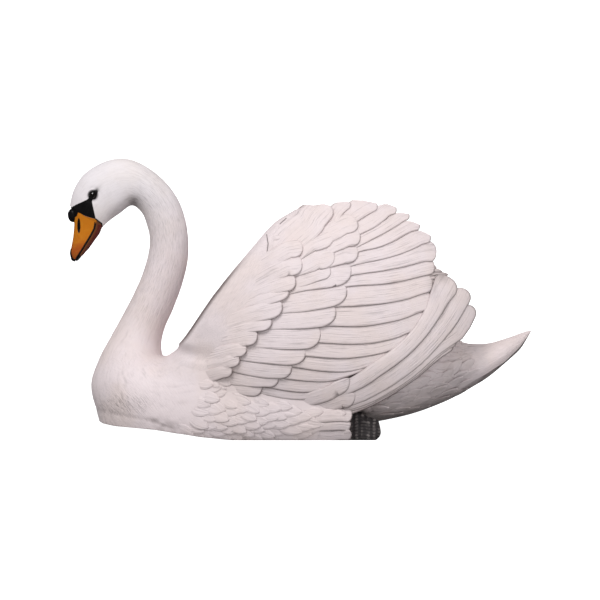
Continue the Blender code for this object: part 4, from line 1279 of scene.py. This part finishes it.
def leaf_mesh():
    """One small feather, a unit long and wide, with its root at the origin and its tip at +Y."""
    columns, rows = 5, 8
    verts, wash, flat = [], [], []
    for i in range(rows):
        along = i / (rows - 1)
        y = 1 - (1 - along) ** 1.5
        half = 0.5 * min(1.0, 0.6 + 1.3 * y) * max(1 - max((y - 0.4) / 0.6, 0.0) ** 1.9, 0.02) ** 0.72
        for j in range(columns):
            across = 2 * j / (columns - 1) - 1
            z = -1.6 + 2.7 * y + 1.1 * (1 - across**2) - 0.3 * max(y - 0.8, 0) * 5
            verts.append((across * half, y - 0.07 * across**2 * (1 - y) ** 0.5, z))
            wash.append(0.25 if i == rows - 1 else 0.14 * abs(across) ** 4)
            flat.append((across * 0.5 + 0.5, along))
    faces = [(i * columns + j, i * columns + j + 1, (i + 1) * columns + j + 1, (i + 1) * columns + j)
             for i in range(rows - 1) for j in range(columns - 1)]
    rim = [i * columns for i in range(rows)] + [(rows - 1) * columns + j for j in range(1, columns)]
    rim += [i * columns + columns - 1 for i in range(rows - 2, -1, -1)] + list(range(columns - 2, 0, -1))
    first = len(verts)
    for k in rim:
        x, y, z = verts[k]
        verts.append((x * 1.05, y * 1.02, z - 2.6 if k >= columns else z - 1.5))
        # The wall under the edge gets the full wash and painted shade.
        wash.append(1.0)
        flat.append(flat[k])
    count = len(rim)
    faces += [(rim[k], rim[(k + 1) % count], first + (k + 1) % count, first + k) for k in range(count)]
    faces.append(tuple(range(first, first + count))[::-1])
    mesh = bpy.data.meshes.new("leaf")
    mesh.from_pydata(verts, [], faces)
    outward(mesh)
    set_numbers(mesh, "wash", wash)
    set_numbers(mesh, "leaf_place", [(x, y, 0) for x, y in flat])
    mesh.polygons.foreach_set("use_smooth", [True] * len(mesh.polygons))
    return mesh


def scatter_tree():
    """Sets a small feather on every root point, turned along it and sized by it."""
    tree = bpy.data.node_groups.new("Small feathers", "GeometryNodeTree")
    names = add_sockets(
        tree, (("Geometry", "Geometry", None), ("Feather", "Object", None), ("Width", "Float", 1.0),
               ("Length", "Float", 1.0), ("Thickness", "Float", 1.0), ("Turn", "Float", 0.1),
               ("Seed", "Int", 1), ("Finish", "Material", None)), (("Geometry", "Geometry"),))
    net = Net(tree)
    given, end = net.new("NodeGroupInput").outputs, net.new("NodeGroupOutput")

    def made(kind, inputs, output=0, **values):
        return net.new(kind, inputs, **values).outputs[output]

    def named(label, kind="FLOAT_VECTOR"):
        return made("GeometryNodeInputNamedAttribute", {"Name": label}, "Attribute", data_type=kind)

    leaf = made("GeometryNodeObjectInfo", {"Object": given["Feather"]}, "Geometry")
    facing = made("FunctionNodeEulerToRotation", {"Euler": named("facing")})
    most = given["Turn"]
    chance = made("FunctionNodeRandomValue", {2: net.times(most, -1.0), 3: most, "Seed": given["Seed"]}, 1,
                  data_type="FLOAT")
    yaw = made("ShaderNodeCombineXYZ", {"Z": net.times(chance, named("ruffle", "FLOAT"))})
    spin = made("FunctionNodeEulerToRotation", {"Euler": yaw})
    turn = made("FunctionNodeRotateRotation", {"Rotation": facing, "Rotate By": spin}, rotation_space="LOCAL")
    sizes = made("ShaderNodeCombineXYZ", {"X": given["Width"], "Y": given["Length"], "Z": given["Thickness"]})
    scale = made("ShaderNodeVectorMath", {0: sizes, 1: named("size")}, operation="MULTIPLY")
    place = made("GeometryNodeInstanceOnPoints",
                 {"Points": given["Geometry"], "Instance": leaf, "Rotation": turn, "Scale": scale})
    real = made("GeometryNodeRealizeInstances", {0: place})
    net.link(made("GeometryNodeSetMaterial", {"Geometry": real, "Material": given["Finish"]}), end.inputs[0])
    return tree, names


def facing_of(normal, way):
    """Turn that lays a feather on a surface with its tip along a direction."""
    across = way.cross(normal).normalized()
    along = normal.cross(across).normalized()
    turn = np.array((across, along, normal)).T
    return Matrix(turn.tolist()).to_euler()


def add_root(roots, hit, normal, way, size, ruffle, strength):
    """Adds a row of what one small feather grows from: see ROOT_VALUES."""
    way = way - normal * way.dot(normal)
    if way.length >= 1e-6:
        facing = tuple(facing_of(normal, way.normalized()))
        roots.append((tuple(hit), facing, tuple(n * MM for n in size), ruffle, strength))


def side_view_roots(outline, step, row_step, slope, seed):
    """Staggered side view places inside an outline, in rows that run along a slope."""
    xs, zs = [p[0] for p in outline], [p[1] for p in outline]
    centre = ((min(xs) + max(xs)) / 2, (min(zs) + max(zs)) / 2)
    reach = math.hypot(max(xs) - min(xs), max(zs) - min(zs)) / 2
    a = np.array((math.cos(slope), math.sin(slope)))
    b = np.array((-a[1], a[0]))
    found = []
    for i in range(int(-reach / step), int(reach / step) + 1):
        for j in range(int(-reach / row_step), int(reach / row_step) + 1):
            jitter = random_grid(np.array(i), np.array(j), np.array([0, 1]), seed)
            place = a * (i + 0.14 * jitter[0]) * step + b * (j + 0.5 * (i % 2) + 0.14 * jitter[1]) * row_step
            x, z = centre[0] + place[0], centre[1] + place[1]
            if inside(np.array(x), np.array(z), outline):
                found.append((x, z))
    return found


def grow(name, roots, materials, settings, seed):
    """Turns rows of root values into one mesh of small feathers."""
    columns = dict(zip(ROOT_VALUES, zip(*roots)))
    mesh = bpy.data.meshes.new(name)
    mesh.from_pydata(columns["root"], [], [])
    for label, values in columns.items():
        set_numbers(mesh, label, values)
    holder, leaf = new_object("roots", mesh), new_object("leaf", leaf_mesh())
    tree, names = scatter_tree()
    change = holder.modifiers.new("feathers", "NODES")
    change.node_group = tree
    values = {"Feather": leaf, "Width": 1.0, "Length": 1.0, "Thickness": settings.leaf_thickness,
              "Turn": settings.leaf_turn, "Seed": seed, "Finish": materials["leaf"]}
    for label, value in values.items():
        change[names[label]] = value
    made = bpy.data.meshes.new_from_object(holder.evaluated_get(bpy.context.evaluated_depsgraph_get()))
    for item in (holder, leaf):
        bpy.data.objects.remove(item, do_unlink=True)
    bpy.data.node_groups.remove(tree)
    made.name = name

    layers = made.attributes
    root, local = (rows_of(layers[label].data, "vector") for label in ("root", "leaf_place"))
    wash, strength = (rows_of(layers[label].data, "value", 1)[:, 0] for label in ("wash", "strength"))
    for label in ("wash", "leaf_place", *ROOT_VALUES):
        if label in layers:
            layers.remove(layers[label])
    roots_only, index = np.unique(root.round(6), axis=0, return_inverse=True)
    near = np.array([Skin.kd.find(p)[1] for p in roots_only])[index.ravel()]
    place = np.stack([Skin.u[near] / SKIN_STEPS[-1][1], Skin.angle[near]], 1)
    patch = np.clip(place + (local[:, :2] - 0.5) * 0.003, 0, 1)
    loops = rows_of(made.loops, "vertex_index", 1, np.int32).ravel()
    bake = made.uv_layers.new(name="OFBake")
    bake.data.foreach_set("uv", patch[loops].astype(np.float32).ravel())
    points = points_of(made)
    x, z = points[:, 0] / MM, points[:, 2] / MM
    points[:, 2] = np.maximum(points[:, 2], level_at(KEEL, x) * MM)
    move_points(made, points)
    # Wash and painted shade on the feathers' edges; painted shade under the tail, with less of it at the
    # tips.
    set_numbers(made, "wash", wash * strength)
    set_numbers(made, "tone", mottled_shade_tone(x, z, points / MM) * (1 - 0.42 * ease(local[:, 1], 0.72, 1.0)))
    own = root[:, 0] * 900 + root[:, 2] * 700
    set_numbers(made, "vane", np.stack([local[:, 0] * 18, local[:, 1] * 26, own], 1))
    return dress(new_object(name, made), materials["leaf"], "body")


def chances(x, z, seed):
    """Three random numbers from -1 to 1 that belong to a side view place."""
    return random_grid(np.array(int(x * 3)), np.array(int(z * 3)), np.array([0, 1, 2]), seed)


def lay_side(roots, side, x, z, slope, *values):
    """Adds a feather where a line from the side meets the skin, unless it only grazes it."""
    hit, normal, _, _ = Skin.tree.ray_cast(Vector((x * MM, side * 0.5, z * MM)), Vector((0, -side, 0)))
    if hit is not None and abs(normal.y) >= SIDE_GRAZE:
        add_root(roots, hit, normal, Vector((math.cos(slope), 0, math.sin(slope))), *values)


def flank_roots(side):
    """Scalloped feathers over the flank, the shoulder and the sides under the tail."""
    roots = []
    for x, z in side_view_roots(FLANK_ZONE, 19, 17, -0.16, 61):
        ruffled = float(spot(x, z, RUFFLE_CENTRE, RUFFLE_REACH))
        if z < 10 or ruffled < 0.3 and (x - 0.6 * (z - 60) < -222 or z > 128):
            continue
        soft = float(ease(x - 0.5 * (z - 90), -250, -50))
        slope = -0.42 + 0.42 * float(ease(x, -160, 60)) + 0.5 * ruffled
        chance = chances(x, z, 64)
        size = 1 + 0.14 * chance[0] - 0.25 * ruffled
        long, thick = 36 + 12 * float(ease(x, -150, 60)), 0.12 + 0.20 * soft + 0.62 * ruffled
        strength = (0.02 + 0.22 * soft) * (0.55 + 0.45 * chance[1]) + 0.5 * ruffled
        lay_side(roots, side, x, z, slope, (25 * size, long * size, thick), 1.0 + 2.6 * ruffled, strength)
    for x, z in side_view_roots(UNDERTAIL_ZONE, 19, 18, 0.38, 62):
        chance = chances(x, z, 65)
        size = 1 + 0.16 * chance[0]
        lay_side(roots, side, x, z, 0.25 + 0.25 * float(ease(x, 150, 330)), (25 * size, 38 * size, 0.5), 2.6,
                 0.06 + 0.05 * chance[1])
    return roots


def back_roots():
    """Rows of broad feathers along the back, from the nape to the tail."""
    roots, row, u = [], 0, BACK_START
    while u < BACK_END:
        spacing, scale, step = (0.0215, 1.0, 19) if u < 28 else (0.018, 0.85, 16)
        ring, later = skin_points([u, u + 0.05], 720) * MM
        steps = np.linalg.norm(np.diff(np.concatenate([ring, ring[:1]]), axis=0), axis=1)
        way = np.concatenate([[0], np.cumsum(steps)])
        for k in range(-9, 10):
            at = ((k + 0.5 * (row % 2)) * spacing) % way[-1]
            index = int(np.searchsorted(way, at)) % 720
            point = Vector(ring[index])
            if min(at, way[-1] - at) > 0.2 * way[-1] or point.z < 0.12:
                continue
            hit, normal, _, far = Skin.tree.find_nearest(point)
            if far < 0.012 and (u >= 21 or abs(hit.y) < 0.042):
                size = 28 * scale, 42 * scale, 0.9
                add_root(roots, hit, normal, Vector(later[index]) - point, size, 1.2, 0.55)
        here, there = skin_points([u, u + 0.1], 4)[:, 0]
        u += 0.1 * step / max(np.linalg.norm(there - here), 1)
        row += 1
    return roots


def build_coat(materials, settings):
    for number, (side, label) in enumerate(((-1, "left"), (1, "right"))):
        grow(f"flank_feathers_{label}", flank_roots(side), materials, settings, 71 + number)
    grow("back_feathers", back_roots(), materials, settings, 73)


# ---------------------------------------------------------------- paint

def new_material(name, values=()):
    """A material, the net of its nodes and its shader, with values on the shader's own sockets."""
    made = bpy.data.materials.new(name)
    made.use_nodes = True
    net, shader = Net(made.node_tree), made.node_tree.nodes["Principled BSDF"]
    for label, value in dict(values).items():
        net.feed(shader.inputs[label], value)
    return made, net, shader


def shader_group(name, inputs, outputs):
    """A shader group, its net, the sockets of what it is given and those of what it makes."""
    tree = bpy.data.node_groups.new(name, "ShaderNodeTree")
    add_sockets(tree, inputs, outputs)
    net = Net(tree)
    return tree, net, net.new("NodeGroupInput").outputs, net.new("NodeGroupOutput").inputs


def paint_group():
    """Pale paint rubbed over a dark wash, with painted shade: colour, roughness and the grain of the casting.
    """
    tree, net, given, made = shader_group(
        "Rubbed paint and painted shade",
        (("Paint", "Color", None), ("Wash colour", "Color", None), ("Tone colour", "Color", None),
         ("Wash", "Float", 0.0), ("Tone", "Float", 0.0)),
        (("Color", "Color"), ("Roughness", "Float"), ("Height", "Float")))
    place = net.place()
    cloud, grain, patch = (net.noise(place, *kind) for kind in ((11.0, 4.0, 0.55), (260.0, 3.0, 0.6),
                                                                (46.0, 4.0, 0.6)))
    colour = net.mix(net.ramp(cloud, 0.35, 0.65), given["Paint"], WARM_TINT, "MULTIPLY")
    colour = net.mix(net.times(net.ramp(patch, 0.5, 0.75), 0.05), colour, given["Tone colour"])
    # Painted shade in the tone colour, broken up by patches.
    tone = net.times(given["Tone"], net.ramp(patch, 0.3, 0.7, 0.85, 1.07), True)
    colour = net.mix(tone, colour, given["Tone colour"])
    # Dark wash and painted shade, broken up by the grain.
    dark = net.times(given["Wash"], net.ramp(grain, 0.2, 0.8, 0.8, 1.1), True)
    net.link(net.mix(dark, colour, given["Wash colour"]), made["Color"])
    net.link(net.ramp(patch, 0.2, 0.8, 0.46, 0.66, smooth=False), made["Roughness"])
    net.link(net.plus(net.times(grain, 0.5), net.times(patch, 0.8)), made["Height"])
    return tree


def barb_group():
    """Fine lines that run the length of a feather, from its own width and length in millimetres."""
    tree, net, given, made = shader_group("Barbs", (("Lines", "Vector", None),),
                                          (("Height", "Float"), ("Streak", "Float")))
    lines = net.noise(net.scaled(given["Lines"], (0.5, 0.016, 1.0)), 1.0, 3.0, 0.62)
    net.link(lines, made["Height"])
    net.link(net.ramp(lines, 0.52, 0.72), made["Streak"])
    return tree


def groove_group():
    """A groove between two points of the side view, in the object's own space."""
    tree, net, given, made = shader_group(
        "Groove", (("From", "Vector", None), ("To", "Vector", None), ("Width", "Float", 0.001)),
        (("Mask", "Float"),))

    def vector(operation, a, b=None, output=0):
        return net.new("ShaderNodeVectorMath", {0: a, 1: b}, operation=operation).outputs[output]

    place = vector("MULTIPLY", net.place(), (1.0, 0.0, 1.0))
    reach, gap = vector("SUBTRACT", given["To"], given["From"]), vector("SUBTRACT", place, given["From"])
    share = net.math("DIVIDE", vector("DOT_PRODUCT", gap, reach, 1),
                     vector("DOT_PRODUCT", reach, reach, 1), True)
    along = net.new("ShaderNodeVectorMath", {0: reach, "Scale": share}, operation="SCALE").outputs[0]
    far = vector("LENGTH", vector("SUBTRACT", gap, along), output=1)
    net.link(net.math("SUBTRACT", 1.0, net.math("DIVIDE", far, given["Width"]), True), made["Mask"])
    return tree


def painted(name, settings, groups, wash_and_shade_gain=1.0):
    """A new material with the group of rubbed paint and painted shade wired to its shader."""
    made, net, shader = new_material(name, {"Specular IOR Level": 0.2})
    coat = net.new("ShaderNodeGroup", {
        "Paint": settings.body_colour, "Wash colour": settings.wash_and_shade_colour,
        "Tone colour": settings.shade_and_streak_colour, "Wash": net.times(net.read("wash"), wash_and_shade_gain, True),
        "Tone": net.read("tone")}, node_tree=groups["paint"])
    net.link(coat.outputs["Roughness"], shader.inputs["Roughness"])
    return made, net, shader, coat


def feather_material(name, settings, groups, wash_and_shade_gain, streaks):
    made, net, shader, coat = painted(name, settings, groups, wash_and_shade_gain)
    barbs = net.new("ShaderNodeGroup", {"Lines": net.read("vane", "Vector")}, node_tree=groups["barbs"])
    streak = net.times(barbs.outputs["Streak"], streaks)
    net.link(net.mix(streak, coat.outputs["Color"], settings.shade_and_streak_colour), shader.inputs["Base Color"])
    height = net.plus(net.times(coat.outputs["Height"], 0.35), barbs.outputs["Height"])
    net.bump(shader, height, 0.9, 0.0016)
    return made


def skin_material(settings, groups):
    made, net, shader, coat = painted("painted_skin", settings, groups)
    pale = net.mix(net.times(net.read("headness"), 0.8), settings.body_colour, HEAD_PAINT)
    net.link(pale, coat.inputs["Paint"])
    # Painted brown shade on the wing's front border.
    colour = net.mix(net.times(net.read("edge_shade"), 0.9), coat.outputs["Color"], EDGE_SHADE_BROWN)
    colour = net.mix(net.times(net.read("eye_shade"), 0.93), colour, EYE_PAINT)
    orange = net.ramp(net.read("orange"), 0.5, -0.5)
    colour = net.mix(orange, colour, settings.bill_colour)
    colour = net.mix(net.times(net.ramp(net.read("mouth"), 0.2, 1.4), orange), colour, MOUTH_PAINT)
    black = net.most(net.ramp(net.read("lores"), 0.7, -0.5), net.ramp(net.read("bill_line"), 1.7, 0.9))
    colour = net.mix(black, colour, settings.black_colour)
    lines = net.noise(net.scaled(net.read("flow", "Vector"), (1.0, 1.0, 0.06)), 1.0, 3.0, 0.6)
    gain = net.read("flow_gain")
    dark = net.times(net.ramp(lines, 0.55, 0.32, 0.0, 0.24), gain)
    colour = net.mix(dark, colour, settings.wash_and_shade_colour)
    # Painted shade of the grooves and of the small feathers' edges at the wrist, with a bump.
    marks = net.most(*(net.new("ShaderNodeGroup", {
        "From": (ax * MM, 0.0, az * MM), "To": (bx * MM, 0.0, bz * MM), "Width": wide * MM},
        node_tree=groups["groove"]).outputs[0] for (ax, az), (bx, bz), wide in WRIST_MARKS))
    colour = net.mix(net.times(marks, 0.8), colour, settings.wash_and_shade_colour)
    net.link(colour, shader.inputs["Base Color"])
    height = net.plus(net.times(coat.outputs["Height"], 0.35), net.times(lines, gain))
    net.bump(shader, net.math("SUBTRACT", height, marks), 0.9, 0.0014)
    return made


def bill_material(settings):
    made, net, shader = new_material("painted_bill", {"Coat Roughness": 0.25, "Coat Weight": 0.12,
                                                      "Specular IOR Level": 0.2})
    place = net.place()
    cloud = net.noise(place, 90.0, 4.0, 0.6)
    level = net.plus(net.new("ShaderNodeSeparateXYZ", {0: place}).outputs["Z"],
                     net.times(net.math("SUBTRACT", cloud, 0.5), 0.02))
    colour = net.mix(net.ramp(level, 0.405, 0.362), settings.bill_colour, BILL_RED)
    colour = net.mix(net.ramp(cloud, 0.45, 0.75, 0.0, 0.35), colour, BILL_YELLOW)
    mouth = net.read("mouth")
    under = net.mix(net.ramp(mouth, 2.0, 7.5), MOUTH_PAINT, MOUTH_DEEP)
    colour = net.mix(net.ramp(mouth, 0.2, 1.4), colour, under)
    rim = net.times(net.ramp(net.plus(mouth, 2.2), -1.6, 0.4), net.ramp(mouth, 0.9, 0.2))
    black = net.most(rim, *(net.ramp(net.read(label), low, high) for label, low, high in (
        ("mouth_line", 1.9, 1.1), ("nail", 1.15, 0.9), ("slot", 1.18, 0.95), ("lores", 0.6, -0.6),
        ("bill_line", 1.7, 0.9))))
    net.link(net.mix(black, colour, settings.black_colour), shader.inputs["Base Color"])
    net.link(net.ramp(cloud, 0.2, 0.8, 0.28, 0.46, smooth=False), shader.inputs["Roughness"])
    net.bump(shader, cloud, 0.25, 0.0006)
    return made


def plain_material(name, colour, rough, scale, spread, glossy=False):
    """A dark painted finish with a little unevenness, or a glossy one under a clear coat."""
    made, net, shader = new_material(name, {"Coat Weight": float(glossy), "Coat Roughness": rough * 0.5,
                                            "Specular IOR Level": 0.5 if glossy else 0.15})
    cloud = net.noise(net.place(), scale, 4.0, 0.55)
    lighter = tuple(min(c * 1.9 + 0.004, 1) for c in colour)
    net.link(net.mix(net.ramp(cloud, 0.4, 0.8, 0.0, spread), colour, lighter), shader.inputs["Base Color"])
    net.link(net.ramp(cloud, 0.2, 0.8, rough * 0.8, rough * 1.25, smooth=False), shader.inputs["Roughness"])
    if not glossy:
        net.bump(shader, cloud, 0.3, 0.0008)
    return made


def foot_material(settings):
    made, net, shader = new_material("painted_foot")
    cloud = net.noise(net.place(), 120.0, 4.0, 0.6)
    # Paler paint on the ridges of the toes, broken up by noise.
    paler_ridges = net.times(net.ramp(net.read("ridge"), 0.55, 1.0), net.ramp(cloud, 0.35, 0.7, 0.1, 0.85))
    net.link(net.mix(paler_ridges, settings.foot_colour, TOE_PAINT), shader.inputs["Base Color"])
    net.link(net.ramp(cloud, 0.2, 0.8, 0.45, 0.7, smooth=False), shader.inputs["Roughness"])
    net.bump(shader, cloud, 0.5, 0.0012)
    return made


def all_materials(settings):
    groups = {"paint": paint_group(), "barbs": barb_group(), "groove": groove_group()}
    return {
        "skin": skin_material(settings, groups),
        "feather": feather_material("painted_feather", settings, groups, 0.92, 0.30),
        "leaf": feather_material("painted_leaf", settings, groups, 0.62, 0.20),
        "bill": bill_material(settings),
        "black": plain_material("painted_black", settings.black_colour, 0.4, 130.0, 0.6),
        "eye": plain_material("glossy_eye", EYE_GLASS, 0.05, 60.0, 0.2, glossy=True),
        "foot": foot_material(settings),
    }


# ---------------------------------------------------------------- stage

def build_stage(settings):
    scene = bpy.context.scene
    scene.view_settings.view_transform = "Standard"
    mesh = bpy.data.meshes.new("studio_floor")
    mesh.from_pydata([(x * FLOOR_REACH, y * FLOOR_REACH, 0) for x, y in ((-1, -1), (1, -1), (1, 1), (-1, 1))],
                     [], [(0, 1, 2, 3)])
    floor = new_object("studio_floor", mesh)
    made, net, shader = new_material("floor_white", {"Base Color": FLOOR_GREY, "Roughness": 1.0,
                                                     "Specular IOR Level": 0.0, "Emission Color": WHITE})
    seen = net.new("ShaderNodeLightPath").outputs["Is Camera Ray"]
    net.link(net.ramp(seen, 0.0, 1.0, settings.floor_glow, 1.0, smooth=False),
             shader.inputs["Emission Strength"])
    mesh.materials.append(made)
    floor.visible_glossy = False

    world = scene.world = bpy.data.worlds.new("studio")
    world.use_nodes = True
    net, back = Net(world.node_tree), world.node_tree.nodes["Background"]
    net.feed(back.inputs["Color"], WHITE)
    path = net.new("ShaderNodeLightPath").outputs
    glow = net.ramp(path["Is Glossy Ray"], 0.0, 1.0, settings.sky_light, GLOSSY_SKY, smooth=False)
    net.link(net.plus(glow, path["Is Camera Ray"]), back.inputs["Strength"])

    for name, place, size, share in LAMPS:
        lamp = bpy.data.lights.new(name, "AREA")
        lamp.size, lamp.energy, lamp.color = size, settings.key_power * share, LAMP_COLOUR
        item = new_object(name, lamp)
        item.location, item.visible_glossy = place, name == "key"
        item.rotation_euler = (Vector(LAMP_AIM) - Vector(place)).to_track_quat("-Z", "Y").to_euler()

    camera = bpy.data.cameras.new("camera")
    camera.lens, camera.sensor_width = settings.lens, SENSOR
    camera.clip_start, camera.clip_end = 0.1, 300.0
    scene.camera = new_object("camera", camera)
    away = PICTURE_WIDTH * settings.lens / SENSOR
    scene.camera.location = (0.0, PICTURE_PLANE - away, PICTURE_MIDDLE)
    scene.camera.rotation_euler = (math.pi / 2, 0.0, 0.0)


# ---------------------------------------------------------------- settings, operators and panel

def amount(name, description, value, **more):
    return bpy.props.FloatProperty(name=name, description=description, default=value, min=0.0, **more)


def tint(name, description, value):
    return bpy.props.FloatVectorProperty(name=name, description=description, default=value, size=3,
                                         subtype="COLOR", min=0.0, max=1.0)


class SwanFormSettings(bpy.types.PropertyGroup):
    coat_depth: amount("Coat depth", "How far the skin lies under the solids, in millimetres", 1.6)
    fillet: amount("Hollow at the wings", "Reach of the hollow where wings and body meet, in millimetres",
                   46.0)
    smoothing: bpy.props.IntProperty(name="Smoothing", description="Rounds of smoothing at the wing joints",
                                     default=170, min=0)
    leaf_thickness: amount("Small feather thickness", "Scale of the small feathers' thickness", 1.0)
    leaf_turn: amount("Small feather turn", "Most that a small feather turns", 0.14,
                      subtype="ANGLE", unit="ROTATION")


class SwanPaintSettings(bpy.types.PropertyGroup):
    body_colour: tint("Body", "Pale paint of the feathers", (0.79, 0.70, 0.718))
    # The wash colour also paints the shade under the feathers' edges and at the wrist.
    wash_and_shade_colour: tint("Wash", "Dark wash that lies in the grooves", (0.078, 0.052, 0.048))
    # The shade colour paints the shade under the tail, in the throat, under the chin, in the recess and on
    # the tucked feathers, and the barbs' streaks.
    shade_and_streak_colour: tint("Shade", "Grey brown paint under the tail", (0.068, 0.052, 0.050))
    bill_colour: tint("Bill", "Orange paint of the bill", (0.53, 0.165, 0.004))
    black_colour: tint("Black", "Paint of the knob and the face", (0.0045, 0.004, 0.005))
    foot_colour: tint("Feet", "Dark paint of the feet", (0.042, 0.036, 0.038))


class SwanStageSettings(bpy.types.PropertyGroup):
    key_power: amount("Key light", "Power of the main light", 98.0, unit="POWER")
    sky_light: amount("Sky light", "Strength of the white surroundings", 0.57)
    floor_glow: amount("Floor glow", "Light that keeps the floor white", 0.1)
    lens: amount("Lens", "Focal length of the camera in millimetres", 1500.0, subtype="DISTANCE_CAMERA")


class Paints:
    """Materials, made once and shared by the operators."""

    made = None


def paints():
    if Paints.made is None:
        Paints.made = all_materials(bpy.context.scene.swan_paint)
    return Paints.made


class SWAN_OT_skin(bpy.types.Operator):
    """Carve the head, neck, body and wing cores as one skin"""
    bl_idname = "swan.skin"
    bl_label = "Skin"

    def execute(self, context):
        item = build_skin(context.scene.swan_form)
        dress(item, paints()["skin"], "body", "head", "neck_upper", "neck_middle", "neck_lower", "torso",
              "tail")
        return {"FINISHED"}


class SWAN_OT_wings(bpy.types.Operator):
    """Lay the flight feathers, the coverts and the linings on both wings"""
    bl_idname = "swan.wings"
    bl_label = "Wing feathers"

    def execute(self, context):
        build_wings(paints())
        return {"FINISHED"}


class SWAN_OT_coat(bpy.types.Operator):
    """Grow the small feathers of the flanks, under the tail and along the back"""
    bl_idname = "swan.coat"
    bl_label = "Small feathers"

    def execute(self, context):
        build_coat(paints(), context.scene.swan_form)
        return {"FINISHED"}


class SWAN_OT_bill(bpy.types.Operator):
    """Model the bill with its mouth line, nostrils and nail"""
    bl_idname = "swan.bill"
    bl_label = "Bill"

    def execute(self, context):
        build_bill(paints())
        return {"FINISHED"}


class SWAN_OT_head_details(bpy.types.Operator):
    """Model the knob and the eyes"""
    bl_idname = "swan.head_details"
    bl_label = "Knob and eyes"

    def execute(self, context):
        build_head_details(paints())
        return {"FINISHED"}


class SWAN_OT_feet(bpy.types.Operator):
    """Model the folded, webbed feet"""
    bl_idname = "swan.feet"
    bl_label = "Feet"

    def execute(self, context):
        build_feet(paints())
        return {"FINISHED"}


class SWAN_OT_stage(bpy.types.Operator):
    """Set up the floor, the lights and the camera"""
    bl_idname = "swan.stage"
    bl_label = "Stage"

    def execute(self, context):
        build_stage(context.scene.swan_stage)
        return {"FINISHED"}


class SWAN_PT_panel(bpy.types.Panel):
    bl_idname = "SWAN_PT_panel"
    bl_label = "Mute swan statue"
    bl_space_type = "VIEW_3D"
    bl_region_type = "UI"
    bl_category = "Swan"

    def draw(self, context):
        layout = self.layout
        for group in (context.scene.swan_form, context.scene.swan_paint, context.scene.swan_stage):
            for name in group.bl_rna.properties.keys():
                if name not in ("rna_type", "name"):
                    layout.prop(group, name)
        for operator in OPERATORS:
            layout.operator(operator.bl_idname)


OPERATORS = (SWAN_OT_stage, SWAN_OT_skin, SWAN_OT_wings, SWAN_OT_coat, SWAN_OT_bill,
             SWAN_OT_head_details, SWAN_OT_feet)
CLASSES = (SwanFormSettings, SwanPaintSettings, SwanStageSettings, *OPERATORS, SWAN_PT_panel)
SETTINGS = (("swan_form", SwanFormSettings), ("swan_paint", SwanPaintSettings),
            ("swan_stage", SwanStageSettings))


def register():
    for item in CLASSES:
        bpy.utils.register_class(item)
    for name, group in SETTINGS:
        setattr(bpy.types.Scene, name, bpy.props.PointerProperty(type=group))


def unregister():
    for name, _ in SETTINGS:
        delattr(bpy.types.Scene, name)
    for item in reversed(CLASSES):
        bpy.utils.unregister_class(item)


def main():
    register()
    for operator in OPERATORS:
        family, name = operator.bl_idname.split(".")
        getattr(getattr(bpy.ops, family), name)()


if __name__ == "__main__":
    main()
